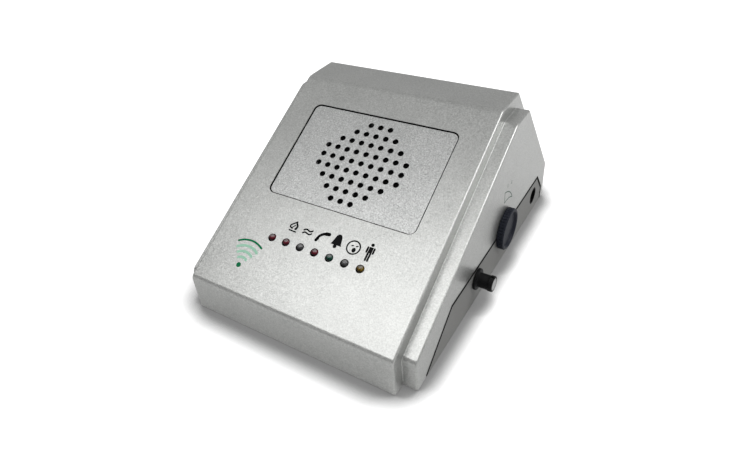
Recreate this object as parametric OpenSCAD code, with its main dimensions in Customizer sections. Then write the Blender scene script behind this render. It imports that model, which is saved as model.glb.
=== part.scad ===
// Alarm signal receiver: sloped desk console with a speaker, indicator LEDs and two rotary controls.
// Millimetres, +Z up, front towards -Y. The origin is the centre of the case on the table.

/* [Case] */
// Width of the raised main block
main_w = 140; // [124:1:180]
// Width of the lowered cheek on each side of the main block
cheek_w = 8.7; // [6:0.1:14]
// Depth from the front wall to the rear wall
case_d = 228; // [216:1:260]
// Height of the front wall
front_h = 26.5; // [24:0.5:34]
// Distance from the front wall to the crest of the slope
crest_y = 140; // [134:1:150]
// Height of the crest above the bottom of the case
crest_h = 103; // [92:1:120]
// Depth of the level strip behind the crest
strip_d = 28; // [20:1:36]
// Height of the rear wall, up to the rear slope
knee_h = 30.5; // [28:0.5:40]
// Distance by which the cheek lies inside the main block's outline
step = 8.5; // [7:0.5:12]
// Wall thickness of the cover and the base
wall = 2.5; // [2:0.1:3]
// Radius of the rounded edges along the sides
edge_r = 1.2; // [0.4:0.1:2]
// Radius of the edge between the front wall and the slope
front_r = 4.5; // [2:0.5:8]
// Distance by which the upper edge of the front wall leans forward of its foot
front_lean = 2; // [0:0.5:3]
// Radius of the crest
crest_r = 9; // [4:0.5:12]
// Radius of the two rear edges
rear_r = 2; // [2:0.5:5]
// Radius of the cove where a cheek meets the main block
cove_r = 0.5; // [0.5:0.5:4]
// Draft of the main block's sides above the cheeks, in degrees
side_draft = 1; // [0:1:14]

/* [Seam and feet] */
// Height of the seam between the cover and the base's side panel
seam_h = 24.4; // [23:0.2:27]
// Distance from the front wall to the foot of the seam
seam_front = 19.5; // [16:0.5:26]
// Distance from the front wall to the seam's front bend
seam_bend = 51; // [44:1:60]
// Distance from the cheek's rear wall to the seam
seam_rear_gap = 7.1; // [4.5:0.1:8]
// Distance from the cheek's rear slope to the seam
seam_slope_gap = 16.8; // [13:0.2:18]
// Width of the seam
seam_gap = 1.4; // [0.3:0.05:1.6]
// Clearance between the base's floor and the cover's walls
rim_gap = 0.3; // [0.2:0.05:0.5]
// Diameter of a rubber foot
foot_d = 12; // [8:0.5:14]
// Thickness of a rubber foot
foot_t = 2.2; // [1.6:0.1:2.6]
// Height of a foot that stands out under the case
foot_proud = 1; // [0.6:0.1:1.5]

/* [Speaker] */
// Width of the speaker panel
panel_w = 102; // [96:1:112]
// Height of the speaker panel along the slope
panel_h = 70; // [66:1:76]
// Corner radius of the speaker panel
panel_r = 4; // [2:0.5:8]
// Thickness of the speaker panel
panel_t = 1.6; // [1.2:0.1:2]
// Depth by which the panel lies below the slope
panel_sunk = 0.8; // [0.2:0.1:1]
// Clearance round the panel in its recess
panel_gap = 0.8; // [0.2:0.1:0.8]
// Distance along the slope from the front edge to the panel's centre
panel_s = 102.5; // [98:0.5:110]
// Diameter of a speaker hole
hole_d = 3.8; // [2.5:0.1:4.5]
// Distance between speaker holes
hole_pitch = 7; // [6:0.1:7.2]
// Turn of the field of holes on the panel, clockwise from outside
hole_turn = 1.7; // [0:0.1:3]
// Diameter of the speaker's rim
speaker_d = 66; // [62:1:68]
// Depth of the speaker's basket
basket_h = 15; // [12:0.5:20]
// Diameter of the speaker's magnet
magnet_d = 32; // [26:1:36]
// Thickness of the speaker's magnet
magnet_h = 9; // [6:0.5:12]

/* [Indicators] */
// Distance along the slope from the front edge to the LED row
led_s = 38.7; // [34:0.2:44]
// Distance between LEDs
led_pitch = 10.3; // [8:0.1:11]
// Diameter of an LED
led_d = 5; // [3:0.5:5]
// Height of an LED
led_h = 8.6; // [7:0.1:9]
// Height of an LED's tip above the slope
led_proud = 1.2; // [0.4:0.1:2]

/* [Controls] */
// Distance from the front wall to the volume dial's axis
dial_y = 131.5; // [128:0.5:140]
// Height of the volume dial's axis above the seam
dial_rise = 1.6; // [0:0.1:3]
// Diameter of the volume dial
dial_d = 27.4; // [24:0.2:32]
// Thickness of the volume dial
dial_t = 4.2; // [3.6:0.1:7]
// Number of flutes round the volume dial
dial_flutes = 44; // [16:1:50]
// Distance from the front wall to the control knob's axis
knob_y = 87; // [80:0.5:92]
// Height of the control knob's axis above the bottom of the case
knob_h = 17.4; // [15:0.2:18]
// Diameter of the control knob
knob_d = 9.8; // [8.6:0.1:12]
// Length of the control knob with its skirt
knob_l = 10.6; // [9:0.1:14]
// Diameter of the control knob's skirt
knob_skirt_d = 13.4; // [12:0.1:14]
// Gap between a turning control and the wall
control_gap = 0.4; // [0.3:0.1:0.8]
// Diameter of a control shaft
shaft_d = 6; // [4:0.5:6]
// Radial clearance of a shaft in its bushing
shaft_fit = 0.05; // [0.02:0.01:0.1]
// Diameter of a potentiometer's can
pot_d = 16; // [12:0.5:17]
// Depth of a potentiometer's can
pot_h = 8; // [6:0.5:10]

/* [Power inlet] */
// Distance from the rear wall to the inlet's axis
inlet_rear = 34.2; // [33:0.2:40]
// Height of the inlet's axis above the bottom of the case
inlet_h = 13.4; // [12:0.2:14.5]
// Outer diameter of the inlet's collar
inlet_d = 12.4; // [10:0.2:14]
// Diameter of the inlet's mouth
inlet_bore = 10.4; // [8:0.2:11]
// Depth of the inlet's mouth
inlet_depth = 7; // [5:0.5:9]

/* [Boards] */
// Width of the main board
board_w = 100; // [80:1:104]
// Depth of the main board
board_d = 104; // [90:1:110]
// Distance from the front wall to the main board
board_y = 60; // [52:1:66]
// Height of the main board's standoffs
standoff_h = 6; // [4:0.5:8]
// Thickness of the circuit boards
board_t = 1.6; // [1:0.2:2]
// Length of the aerial
aerial_l = 60; // [40:1:64]

/* [Hidden] */

$fn = 48;
// Slight oversize of cuts, so that a cut passes through a face
past = 1;
// Fit of a piece that is held tight in a hole
snug = 0.02;
// Room left beyond the tip of a screw in a blind hole
blind = 0.6;

// Levels and planes of the case
case_w = main_w + 2 * cheek_w;
side_x = case_w / 2;
bottom_z = foot_proud;
floor_t = wall;
floor_z = bottom_z + floor_t;
seam_z = bottom_z + seam_h;
slope = atan2(crest_h - front_h, crest_y);
// The outlines run on below the case, where they are cut off level
below = 40;

// Height of the edge between the leaning front wall and the slope
front_rise = front_h - front_lean * tan(slope);

// Outline of the main block in the YZ plane, clockwise from the foot of the front wall
main_outline = [
    [front_lean * below / front_rise, bottom_z - below],
    [-front_lean, bottom_z + front_rise],
    [crest_y, bottom_z + crest_h],
    [crest_y + strip_d, bottom_z + crest_h],
    [case_d, bottom_z + knee_h],
    [case_d, bottom_z - below]
];
corner_radii = [edge_r, front_r, crest_r, rear_r, rear_r, edge_r];
cheek_outline = inset(main_outline, step);
// Half width of the main block at the foot of its drafted sides, where they leave its rounded edges
foot_x = main_w / 2 - edge_r * (1 - cos(side_draft))
    + (step - edge_r * (1 - sin(side_draft))) * tan(side_draft);
// Middle of the cove's arc
cove_x = foot_x + cove_r * (1 - sin(side_draft)) / cos(side_draft);

// Outline of the base's side panel, from the foot of the seam to its rear end
rear_bend = corner(cheek_outline, 4, seam_slope_gap, seam_rear_gap);
rear_run = unit(cheek_outline[4] - cheek_outline[3]);
level_end = rear_bend + rear_run * (seam_z - rear_bend[1]) / rear_run[1];
panel_outline = [
    [seam_front, bottom_z],
    [seam_bend, seam_z],
    level_end,
    rear_bend,
    [rear_bend[0], bottom_z]
];

// Heights below the slope, counted along its normal
recess_h = panel_t + panel_sunk;
tray_floor_t = 3;
tray_h = recess_h + tray_floor_t;

// Speaker: its rim is stepped, and the cone's edge sits on the inner step
gasket_t = 1;
gasket_w = 2.5;
rim_t = 1.2;
rim_w = 4.5;
rim_step = 2;
basket_t = 1.3;
basket_bar = 2;
cone_t = 0.5;
cone_fit = 0.1;
coil_d = magnet_d / 2;
cone_h = basket_h - 4;
dust_cap_h = 2.5;
speaker_hole_d = speaker_d - 2 * gasket_w;
cloth_t = 0.4;
cloth_fit = 0.1;
magnet_plate_t = 1.2;
magnet_cap_t = 2;
magnet_cap_in = 2.4;

// Clips: washers on posts round the speaker's rim, which hold its outer step
clip_t = 0.8;
clip_out = 3.5;
clip_clear = 0.4;
clip_ring_r = speaker_d / 2 + clip_out;
clip_d = 2 * (clip_out + rim_step - clip_clear);
clip_post_d = 6;

led_flange_w = 0.4;
led_flange_d = led_d + 2 * led_flange_w;
led_flange_t = 1;
led_clear = 0.15;
led_count = 7;
led_base = led_proud - led_h;
led_lead_d = 0.6;
led_lead_gap = 2.54;
led_lead_tail = 1.5;
led_board_end = 11;
led_board_w = (led_count - 1) * led_pitch + 2 * led_board_end;
led_board_h = 16;
led_board_z = led_base - board_t;
led_post_in = 4;
led_post_d = 6;
led_post_x = led_board_w / 2 - led_post_in;

// Screws: thread diameter, head diameter and head height
small_screw = [2.5, 4.8, 1.8];
case_screw = [3, 5.8, 2.2];
cross_w = 0.9;
case_screw_l = 16;
case_post_d = 8.5;
case_post_h = 19;
case_head_h = 11;
case_head_room = 0.3;
case_post_z = bottom_z + case_post_h;
case_head_z = bottom_z + case_head_h;

// Screw posts and feet: distance in from the main block's side, and from the nearer end wall
front_post_in = [12, 34];
rear_post_in = [25, 25];
front_foot_in = [12, 15];
rear_foot_in = [12, 12];
case_posts = [
    [main_w / 2 - front_post_in[0], front_post_in[1]],
    [main_w / 2 - rear_post_in[0], case_d - rear_post_in[1]]
];
foot_places = [
    [main_w / 2 - front_foot_in[0], front_foot_in[1]],
    [main_w / 2 - rear_foot_in[0], case_d - rear_foot_in[1]]
];

// Gussets that stiffen the base's side panels: width, and height left free under the seam
gusset_w = 8;
gusset_gap = 4;
gusset_front = 8;
gusset_rear = 22;

// Controls on the right side: axes, and the bracket that carries both
dial_z = seam_z + dial_rise;
knob_z = bottom_z + knob_h;
control_axes = [[knob_y, knob_z], [dial_y, dial_z]];
nut_t = 2;
nut_af = 10;
nut_gap = 1.5;
bushing_d = 7;
bushing_fit = 0.1;
thread_past = 0.6;
bracket_t = 1.5;
bracket_x = side_x - wall - nut_gap - nut_t;
bushing_end = bracket_x + nut_t + thread_past;
bracket_margin = 11;
bracket_tab = [14, 22];
bracket_post_h = 6;
bracket_mid = (knob_y + dial_y) / 2;
shaft_room = 0.6;
shaft_hole_d = shaft_d + 2 * shaft_room;

// Potentiometers: can, wiper disc, and three terminals that point up
pot_wall = 1.5;
pot_back = pot_h + bracket_t;
wiper_t = 1.5;
wiper_gap = 0.7;
wiper_room = 0.5;
wiper_d = pot_d - 2 * pot_wall - 2 * wiper_room;
terminal = [6, 1.2, 0.6];
terminal_in = 1;
terminal_pitch = 4;
terminal_tip = pot_d / 2 - terminal_in + terminal[0];

// Volume dial: cupped face inside a rim, and the web left under the cup
dial_bevel = 0.7;
dial_rim_w = 1.8;
dial_cup = 1.6;
dial_cup_draft = 0.9;
dial_floor_t = 0.6;
dial_web = dial_cup + dial_floor_t;
flute_r = 0.6;
flute_depth = 0.4;
knob_web = 1.4;
skirt_t = 1.5;
grip_waist = 0.4;
grip_collar_l = 2.4;
knob_edge = 0.3;
groove_w = 0.8;
cap_rim = 1.2;
cap_d = knob_d - 2 * cap_rim;
cap_t = 0.8;

inlet_y = case_d - inlet_rear;
inlet_z = bottom_z + inlet_h;
inlet_body = [16, 15, 13];
inlet_shoulder_x = side_x - wall - rim_gap;
inlet_back_x = inlet_shoulder_x - inlet_body[0];
inlet_mouth_x = side_x - inlet_depth;
barrel_d = 5.7;
barrel_l = 9;
pin_d = 2;
pin_tail = 3;
pin_short = 1;

board_z = floor_z + standoff_h;
board_top = board_z + board_t;
board_hole_in = 5;
standoff_d = 6.5;

// Parts on the main board: sizes, and places from its front edge and its centre line
chip = [20, 8, 3.5];
chip_place = [-8, 36];
decoder = [10, 10, 2];
decoder_place = [-30, 21];
capacitor_d = 8;
capacitor_h = 12;
capacitor_places = [[18, 62], [30, 62]];
header = [10, 5, 7];
header_in = 3;
header_pitch = 18;
header_top = board_top + header[2];

// Radio module and aerial: sizes, and places from the board's left and rear edges
radio = [30, 24, 4];
radio_in = [8, 20];
aerial_d = 1.6;
aerial_foot_d = 5;
aerial_foot_h = 4;
aerial_in = [20, 12];

wire_d = 1.2;
wire_pitch = 2.5;
wire_steps = 10;
wire_sides = 8;
wire_up = 5;

silver = [0.68, 0.68, 0.67];
panel_grey = [0.47, 0.47, 0.46];
black = [0.08, 0.08, 0.09];
steel = [0.6, 0.6, 0.62];
board_green = [0.1, 0.35, 0.2];

function unit(v) = v / norm(v);

// Inward normal of the edge that starts at point i of a clockwise outline
function inward(pts, i) =
    let (run = unit(pts[(i + 1) % len(pts)] - pts[i]))
    [run[1], -run[0]];

// Corner i of an outline, moved in by a from the edge before it and by b from the edge after it
function corner(pts, i, a, b) =
    let (
        u = inward(pts, (i + len(pts) - 1) % len(pts)),
        v = inward(pts, i),
        c = u * v
    )
    pts[i] + (u * (a - b * c) + v * (b - a * c)) / (1 - c * c);

function inset(pts, d) = [for (i = [0:len(pts) - 1]) corner(pts, i, d, d)];

// The case is drawn from its front wall back and then centred
module centred() {
    translate([0, -case_d / 2, 0]) children();
}

// Slope frame: X across, Y up the slope from the front edge, Z out of the slope
module on_slope() {
    translate([0, 0, bottom_z + front_h]) rotate([slope, 0, 0]) children();
}

// Frame of a control on the right side: Z points out of the side
module on_side(y, z, x = side_x) {
    translate([x, y, z]) rotate([0, 90, 0]) children();
}

// Extrudes an outline of the YZ plane across the width w, centred on x
module across(w, x = 0) {
    translate([x - w / 2, 0, 0]) rotate([90, 0, 90]) linear_extrude(w) children();
}

module on_both_sides() {
    children();
    mirror([1, 0, 0]) children();
}

// Round disc with rounded rims, axis along X
module puck(w, r) {
    rotate([0, 90, 0]) rotate_extrude($fn = 32)
        polygon(concat(
            [[0, -w / 2]],
            [for (a = [-90:22.5:0]) [r - edge_r + edge_r * cos(a), -w / 2 + edge_r + edge_r * sin(a)]],
            [for (a = [0:22.5:90]) [r - edge_r + edge_r * cos(a), w / 2 - edge_r + edge_r * sin(a)]],
            [[0, w / 2]]
        ));
}

module corner_pucks(outline, w) {
    for (i = [0:len(outline) - 1]) {
        centre = corner(outline, i, corner_radii[i], corner_radii[i]);
        translate([0, centre[0], centre[1]]) puck(w, corner_radii[i]);
    }
}

// Discs in the corners of the cheeks' outline, grown by rise
module cheek_discs(w, rise) {
    for (i = [0:len(cheek_outline) - 1]) {
        centre = corner(cheek_outline, i, corner_radii[i], corner_radii[i]);
        translate([0, centre[0], centre[1]]) rotate([0, 90, 0])
            cylinder(r = corner_radii[i] + rise, h = w, center = true, $fn = 32);
    }
}

// Main block: rounded edges, and sides that widen with their draft down to the cheeks
module main_block() {
    hull() {
        corner_pucks(main_outline, main_w);
        cheek_discs(2 * (foot_x + past * tan(side_draft)), -past);
    }
}

module cheek_block() {
    hull() corner_pucks(cheek_outline, case_w);
}

// Hollow rounding along the foot of the main block's sides, in three flats
module cove() {
    turn = (90 - side_draft) / 3;
    for (i = [0:2])
        hull()
            for (b = [side_draft + i * turn, side_draft + (i + 1) * turn])
                cheek_discs(2 * (cove_x - cove_r * cos(b)), cove_r * (1 - sin(b)));
}

module rounded_rect(w, h, r) {
    square([w - 2 * r, h], center = true);
    square([w, h - 2 * r], center = true);
    for (x = [-1, 1], y = [-1, 1])
        translate([x * (w / 2 - r), y * (h / 2 - r)]) circle(r);
}

module ring(outer_d, inner_d, h) {
    linear_extrude(h) difference() {
        circle(d = outer_d);
        circle(d = inner_d);
    }
}

// Pan-head screw: head under Z = 0, shank of the length l above it, with a cross recess
module screw(size, l) {
    difference() {
        union() {
            translate([0, 0, -size[2]]) cylinder(d = size[1], h = size[2]);
            cylinder(d = size[0], h = l);
        }
        for (a = [0, 90])
            rotate(a) translate([0, 0, -size[2]])
                cube([size[0] + cross_w / 2, cross_w, size[2]], center = true);
    }
}

module at_case_posts() {
    for (p = case_posts)
        on_both_sides() translate([p[0], p[1], 0]) children();
}

module at_feet() {
    for (p = foot_places)
        on_both_sides() translate([p[0], p[1], 0]) children();
}

module at_leds(places) {
    on_slope()
        for (i = places)
            translate([(i - (led_count - 1) / 2) * led_pitch, led_s, 0]) children();
}

module at_led_posts() {
    on_slope() on_both_sides() translate([led_post_x, led_s, 0]) children();
}

// Speaker frame: on the panel's axis, Z = 0 on the slope
module at_speaker() {
    on_slope() translate([0, panel_s, 0]) children();
}

module at_speaker_clips() {
    at_speaker()
        for (a = [45:90:315])
            rotate(a) translate([clip_ring_r, 0, -tray_h - gasket_t - rim_t]) children();
}

module at_board_holes() {
    for (y = [board_y + board_hole_in, board_y + board_d - board_hole_in])
        on_both_sides() translate([board_w / 2 - board_hole_in, y, 0]) children();
}

module at_bracket_posts() {
    for (y = [-1, 1])
        translate([
            bracket_x - bracket_t - bracket_tab[0] / 2,
            bracket_mid + y * bracket_tab[1] / 4,
            floor_z
        ]) children();
}

// Solid of the whole case above its bottom, without rounding, set in by d from the outside
module case_core(d) {
    difference() {
        union() {
            across(main_w - 2 * d) polygon(inset(main_outline, d));
            across(case_w - 2 * d) polygon(inset(cheek_outline, d));
        }
        translate([-case_w, -past, bottom_z - 2 * below])
            cube([2 * case_w, case_d + 2 * past, 2 * below]);
    }
}

module cover_shell() {
    difference() {
        union() {
            main_block();
            cheek_block();
            cove();
        }
        across(main_w - 2 * wall) polygon(inset(main_outline, wall));
        across(case_w - 2 * wall) polygon(inset(cheek_outline, wall));
        translate([-case_w, -past, bottom_z - 2 * below])
            cube([2 * case_w, case_d + 2 * past, 2 * below]);
    }
}

// Screw posts of the cover, closed off inside its walls
module cover_posts() {
    intersection() {
        at_case_posts() translate([0, 0, case_post_z]) cylinder(d = case_post_d, h = crest_h);
        case_core(wall / 2);
    }
}

// Shallow tray under the slope that holds the speaker panel and carries the speaker
module panel_tray() {
    at_speaker() translate([0, 0, -tray_h]) linear_extrude(tray_h - wall / 2)
        rounded_rect(panel_w + 2 * wall, panel_h + 2 * wall, panel_r + wall);
    at_speaker_clips() cylinder(d = clip_post_d, h = gasket_t + rim_t + tray_floor_t / 2);
}

module led_posts() {
    at_led_posts() translate([0, 0, led_base]) cylinder(d = led_post_d, h = -led_base - wall / 2);
}

// Slot across the seam for the volume dial's shaft
module dial_slot() {
    on_side(dial_y, dial_z, side_x - wall - past) linear_extrude(wall + 2 * past) {
        circle(d = shaft_hole_d);
        translate([0, -shaft_hole_d / 2]) square([dial_rise + seam_gap + past, shaft_hole_d]);
    }
}

module top_cover() {
    color(silver) centred() difference() {
        union() {
            cover_shell();
            cover_posts();
            panel_tray();
            led_posts();
        }
        at_speaker() translate([0, 0, -recess_h]) linear_extrude(recess_h + past)
            rounded_rect(panel_w + 2 * panel_gap, panel_h + 2 * panel_gap, panel_r + panel_gap);
        at_speaker() translate([0, 0, -tray_h - past]) cylinder(d = speaker_hole_d, h = tray_h + past);
        at_speaker_clips() translate([0, 0, -past])
            cylinder(d = small_screw[0] + 2 * snug, h = gasket_t + rim_t + tray_floor_t - blind + past);
        at_leds([0:led_count - 1]) translate([0, 0, -wall - past])
            cylinder(d = led_d + 2 * led_clear, h = wall + 2 * past);
        at_led_posts() translate([0, 0, led_base - past])
            cylinder(d = small_screw[0] + 2 * snug, h = -led_base - wall + past);
        at_case_posts() translate([0, 0, case_post_z - past])
            cylinder(d = case_screw[0] + 2 * snug, h = case_screw_l + case_head_z - case_post_z + 2 * past);
        on_both_sides() across(wall + 2 * past, side_x - wall / 2) polygon(inset(panel_outline, -seam_gap));
        dial_slot();
    }
}

module base_floor() {
    main_in = wall + rim_gap;
    cheek_in = step + wall + rim_gap;
    translate([-main_w / 2 + main_in, main_in, bottom_z])
        cube([main_w - 2 * main_in, case_d - 2 * main_in, floor_t]);
    translate([-side_x + wall + rim_gap, cheek_in, bottom_z])
        cube([case_w - 2 * (wall + rim_gap), case_d - 2 * cheek_in, floor_t]);
}

// Side panel of the base with gussets that stiffen it
module side_panel() {
    across(wall + rim_gap, side_x - (wall + rim_gap) / 2) polygon(panel_outline);
    for (y = [seam_bend + gusset_front, inlet_y - gusset_rear])
        translate([0, y, 0]) rotate([90, 0, 0]) linear_extrude(wall)
            polygon([
                [side_x - wall, bottom_z],
                [side_x - wall, seam_z - gusset_gap],
                [side_x - wall - gusset_w, floor_z],
                [side_x - wall - gusset_w, bottom_z]
            ]);
}

module base_tray() {
    color(panel_grey) centred() difference() {
        union() {
            base_floor();
            on_both_sides() side_panel();
            at_case_posts() translate([0, 0, bottom_z])
                cylinder(d = case_post_d, h = case_post_z - bottom_z);
            at_board_holes() translate([0, 0, bottom_z])
                cylinder(d = standoff_d, h = board_z - bottom_z);
            at_bracket_posts() translate([0, 0, -floor_t / 2])
                cylinder(d = standoff_d, h = bracket_post_h + floor_t / 2);
            translate([inlet_back_x, inlet_y - inlet_body[1] / 2, bottom_z])
                cube([inlet_body[0], inlet_body[1], inlet_z - inlet_body[2] / 2 - bottom_z]);
        }
        at_case_posts() translate([0, 0, bottom_z - past])
            cylinder(d = case_screw[0] + 2 * snug, h = case_post_z - bottom_z + 2 * past);
        at_case_posts() translate([0, 0, bottom_z - past])
            cylinder(d = case_screw[1] + 2 * case_head_room, h = case_head_h + past);
        at_board_holes() translate([0, 0, floor_z])
            cylinder(d = small_screw[0] + 2 * snug, h = standoff_h + past);
        at_bracket_posts()
            cylinder(d = small_screw[0] + 2 * snug, h = bracket_post_h + past);
        at_feet() translate([0, 0, bottom_z - past])
            cylinder(d = foot_d + 2 * snug, h = foot_t - foot_proud + past);
        on_side(knob_y, knob_z, side_x - wall - past) cylinder(d = shaft_hole_d, h = wall + 2 * past);
        on_side(inlet_y, inlet_z, inlet_shoulder_x - past)
            cylinder(d = inlet_d + 2 * snug, h = wall + rim_gap + 2 * past);
        dial_slot();
    }
}

// Number of holes in each row of the speaker panel, widest in the middle
hole_rows = [3, 5, 7, 9, 9, 9, 7, 5, 3];

module speaker_panel() {
    color(silver) centred() at_speaker() translate([0, 0, -recess_h]) linear_extrude(panel_t)
        difference() {
            rounded_rect(panel_w, panel_h, panel_r);
            for (row = [0:len(hole_rows) - 1], i = [0:hole_rows[row] - 1])
                rotate(-hole_turn) translate([
                    (i - (hole_rows[row] - 1) / 2) * hole_pitch,
                    (row - (len(hole_rows) - 1) / 2) * hole_pitch
                ]) circle(d = hole_d, $fn = 24);
        }
}

module speaker_cloth() {
    color(black) centred() at_speaker() translate([0, 0, -recess_h - cloth_t])
        cylinder(d = speaker_hole_d - 2 * cloth_fit, h = cloth_t);
}

module speaker_gasket() {
    color(black) centred() at_speaker() translate([0, 0, -tray_h - gasket_t])
        ring(speaker_d, speaker_hole_d, gasket_t);
}

// Pressed basket: rim with a seat for the cone, tapered wall with windows, and a plate for the magnet
module speaker_basket() {
    rim_r = speaker_d / 2;
    seat_r = rim_r - rim_step;
    lip_r = rim_r - rim_w;
    plate_r = magnet_d / 2 + basket_t;
    pole_r = magnet_d / 6;
    color(steel) centred() at_speaker() translate([0, 0, -tray_h - gasket_t]) difference() {
        rotate_extrude() polygon([
            [lip_r, -rim_t / 2],
            [seat_r, -rim_t / 2],
            [seat_r, 0],
            [rim_r, 0],
            [rim_r, -rim_t],
            [seat_r, -rim_t],
            [plate_r, -basket_h],
            [plate_r, -basket_h - magnet_plate_t],
            [pole_r, -basket_h - magnet_plate_t],
            [pole_r, -basket_h],
            [plate_r - basket_t, -basket_h],
            [seat_r - basket_t, -rim_t],
            [lip_r, -rim_t]
        ]);
        for (a = [0:90:270])
            rotate(a) translate([plate_r - 2 * basket_t, -coil_d / 2, -basket_h + basket_bar])
                cube([rim_r, coil_d, basket_h - rim_t - 2 * basket_bar]);
    }
}

// Paper cone with its edge ring and dust cap
module speaker_cone() {
    ring_r = speaker_d / 2 - rim_step - cone_fit;
    edge_in = speaker_d / 2 - rim_w - 2 * cone_t;
    coil_r = coil_d / 2;
    crown_r = coil_r * 2 / 3;
    color([0.15, 0.14, 0.13]) centred() at_speaker() translate([0, 0, -tray_h - gasket_t - rim_t / 2])
        rotate_extrude() polygon([
            [0, dust_cap_h - cone_h],
            [crown_r, dust_cap_h - cone_h - cone_t],
            [coil_r, -cone_h],
            [edge_in, 0],
            [ring_r, 0],
            [ring_r, cone_t],
            [edge_in - cone_t / 2, cone_t],
            [coil_r, 2 * cone_t - cone_h],
            [crown_r, dust_cap_h - cone_h],
            [0, dust_cap_h + cone_t - cone_h]
        ]);
}

module speaker_magnet() {
    color([0.2, 0.2, 0.21]) centred() at_speaker()
        translate([0, 0, -tray_h - gasket_t - basket_h - magnet_plate_t]) {
            translate([0, 0, -magnet_h]) cylinder(d = magnet_d, h = magnet_h);
            translate([0, 0, -magnet_h - magnet_cap_t])
                cylinder(d = magnet_d - 2 * magnet_cap_in, h = 2 * magnet_cap_t);
            cylinder(d = magnet_d / 3 - 2 * cone_fit, h = magnet_plate_t);
        }
}

module speaker_clips() {
    color(steel) centred() at_speaker_clips() translate([0, 0, -clip_t])
        ring(clip_d, small_screw[0] + 2 * snug, clip_t);
}

module speaker_screws() {
    color(steel) centred() at_speaker_clips() translate([0, 0, -clip_t])
        screw(small_screw, clip_t + gasket_t + rim_t + tray_floor_t - 2 * blind);
}

module led_board() {
    color(board_green) centred() difference() {
        on_slope() translate([-led_board_w / 2, led_s - led_board_h / 2, led_board_z])
            cube([led_board_w, led_board_h, board_t]);
        at_led_posts() translate([0, 0, led_board_z - past])
            cylinder(d = small_screw[0] + 2 * snug, h = board_t + 2 * past);
        at_leds([0:led_count - 1]) led_lead_pair(led_lead_d + 2 * snug, board_t + led_lead_tail + past);
    }
}

// Two leads of an LED, of the diameter d and the length l
module led_lead_pair(d, l) {
    for (x = [-1, 1])
        translate([x * led_lead_gap / 2, 0, led_board_z - led_lead_tail])
            cylinder(d = d, h = l, $fn = 16);
}

module led_leads() {
    color(steel) centred() at_leds([0:led_count - 1]) led_lead_pair(led_lead_d, board_t + led_lead_tail);
}

module led_board_screws() {
    color(steel) centred() at_led_posts() translate([0, 0, led_board_z])
        screw(small_screw, board_t - led_base - wall - blind);
}

// Round-nosed LED with a flange that stands on its board
module led() {
    translate([0, 0, led_base]) rotate_extrude() {
        square([led_flange_d / 2, led_flange_t]);
        square([led_d / 2, led_h - led_d / 2]);
        intersection() {
            translate([0, led_h - led_d / 2]) circle(d = led_d);
            square([led_d, led_h]);
        }
    }
}

module red_leds() {
    color([0.75, 0.1, 0.15]) centred() at_leds([0, 1, 3]) led();
}

module clear_leds() {
    color([0.7, 0.7, 0.7]) centred() at_leds([2, 5]) led();
}

module green_led() {
    color([0.1, 0.5, 0.35]) centred() at_leds([4]) led();
}

module yellow_led() {
    color([0.8, 0.65, 0.1]) centred() at_leds([6]) led();
}

module main_board() {
    color(board_green) centred() difference() {
        translate([-board_w / 2, board_y, board_z]) cube([board_w, board_d, board_t]);
        at_board_holes() translate([0, 0, board_z - past])
            cylinder(d = small_screw[0] + 2 * snug, h = board_t + 2 * past);
    }
}

// Centre of wire header i on the main board: 0 to 3 along the front edge, 4 at the rear edge
function header_place(i) =
    i < 4
    ? [(i - 1.5) * header_pitch, board_y + header_in + header[1] / 2]
    : [1.5 * header_pitch, board_y + board_d - header_in - header[1] / 2];

// Amplifier chip, decoder chip, capacitors and wire headers on the main board
module board_parts() {
    color([0.12, 0.12, 0.14]) centred() translate([0, 0, board_top]) {
        translate([chip_place[0], board_y + chip_place[1], 0]) cube(chip);
        translate([decoder_place[0], board_y + decoder_place[1], 0]) cube(decoder);
        for (p = capacitor_places)
            translate([p[0], board_y + p[1], 0]) cylinder(d = capacitor_d, h = capacitor_h);
        for (i = [0:4])
            translate(header_place(i)) translate([-header[0] / 2, -header[1] / 2, 0]) cube(header);
    }
}

module radio_module() {
    color(steel) centred()
        translate([-board_w / 2 + radio_in[0], board_y + board_d - radio_in[1] - radio[1], board_top])
            cube(radio);
}

// Upright wire aerial on a round foot
module aerial() {
    color([0.55, 0.38, 0.2]) centred()
        translate([-board_w / 2 + aerial_in[0], board_y + board_d - aerial_in[1], board_top]) {
            cylinder(d = aerial_foot_d, h = aerial_foot_h);
            cylinder(d = aerial_d, h = aerial_l, $fn = 24);
        }
}

module board_screws() {
    color(steel) centred() at_board_holes() translate([0, 0, board_top]) mirror([0, 0, 1])
        screw(small_screw, board_t + standoff_h - blind);
}

// Bent steel bracket: an upright plate for both potentiometers and a tab on two posts
module control_bracket() {
    tab_z = floor_z + bracket_post_h;
    y0 = knob_y - bracket_margin;
    run = dial_y - knob_y + 2 * bracket_margin;
    top_z = dial_z + bracket_margin;
    color(steel) centred() difference() {
        union() {
            translate([bracket_x - bracket_t, y0, tab_z]) cube([bracket_t, run, top_z - tab_z]);
            translate([
                bracket_x - bracket_t - bracket_tab[0],
                bracket_mid - bracket_tab[1] / 2,
                tab_z
            ]) cube([bracket_tab[0] + bracket_t, bracket_tab[1], bracket_t]);
        }
        for (p = control_axes)
            on_side(p[0], p[1], bracket_x - bracket_t - past)
                cylinder(d = bushing_d + 2 * bushing_fit, h = bracket_t + 2 * past);
        at_bracket_posts() translate([0, 0, bracket_post_h - past])
            cylinder(d = small_screw[0] + 2 * snug, h = bracket_t + 2 * past);
    }
}

module bracket_screws() {
    color(steel) centred() at_bracket_posts() translate([0, 0, bracket_post_h + bracket_t])
        mirror([0, 0, 1]) screw(small_screw, bracket_t + bracket_post_h - blind);
}

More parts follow.
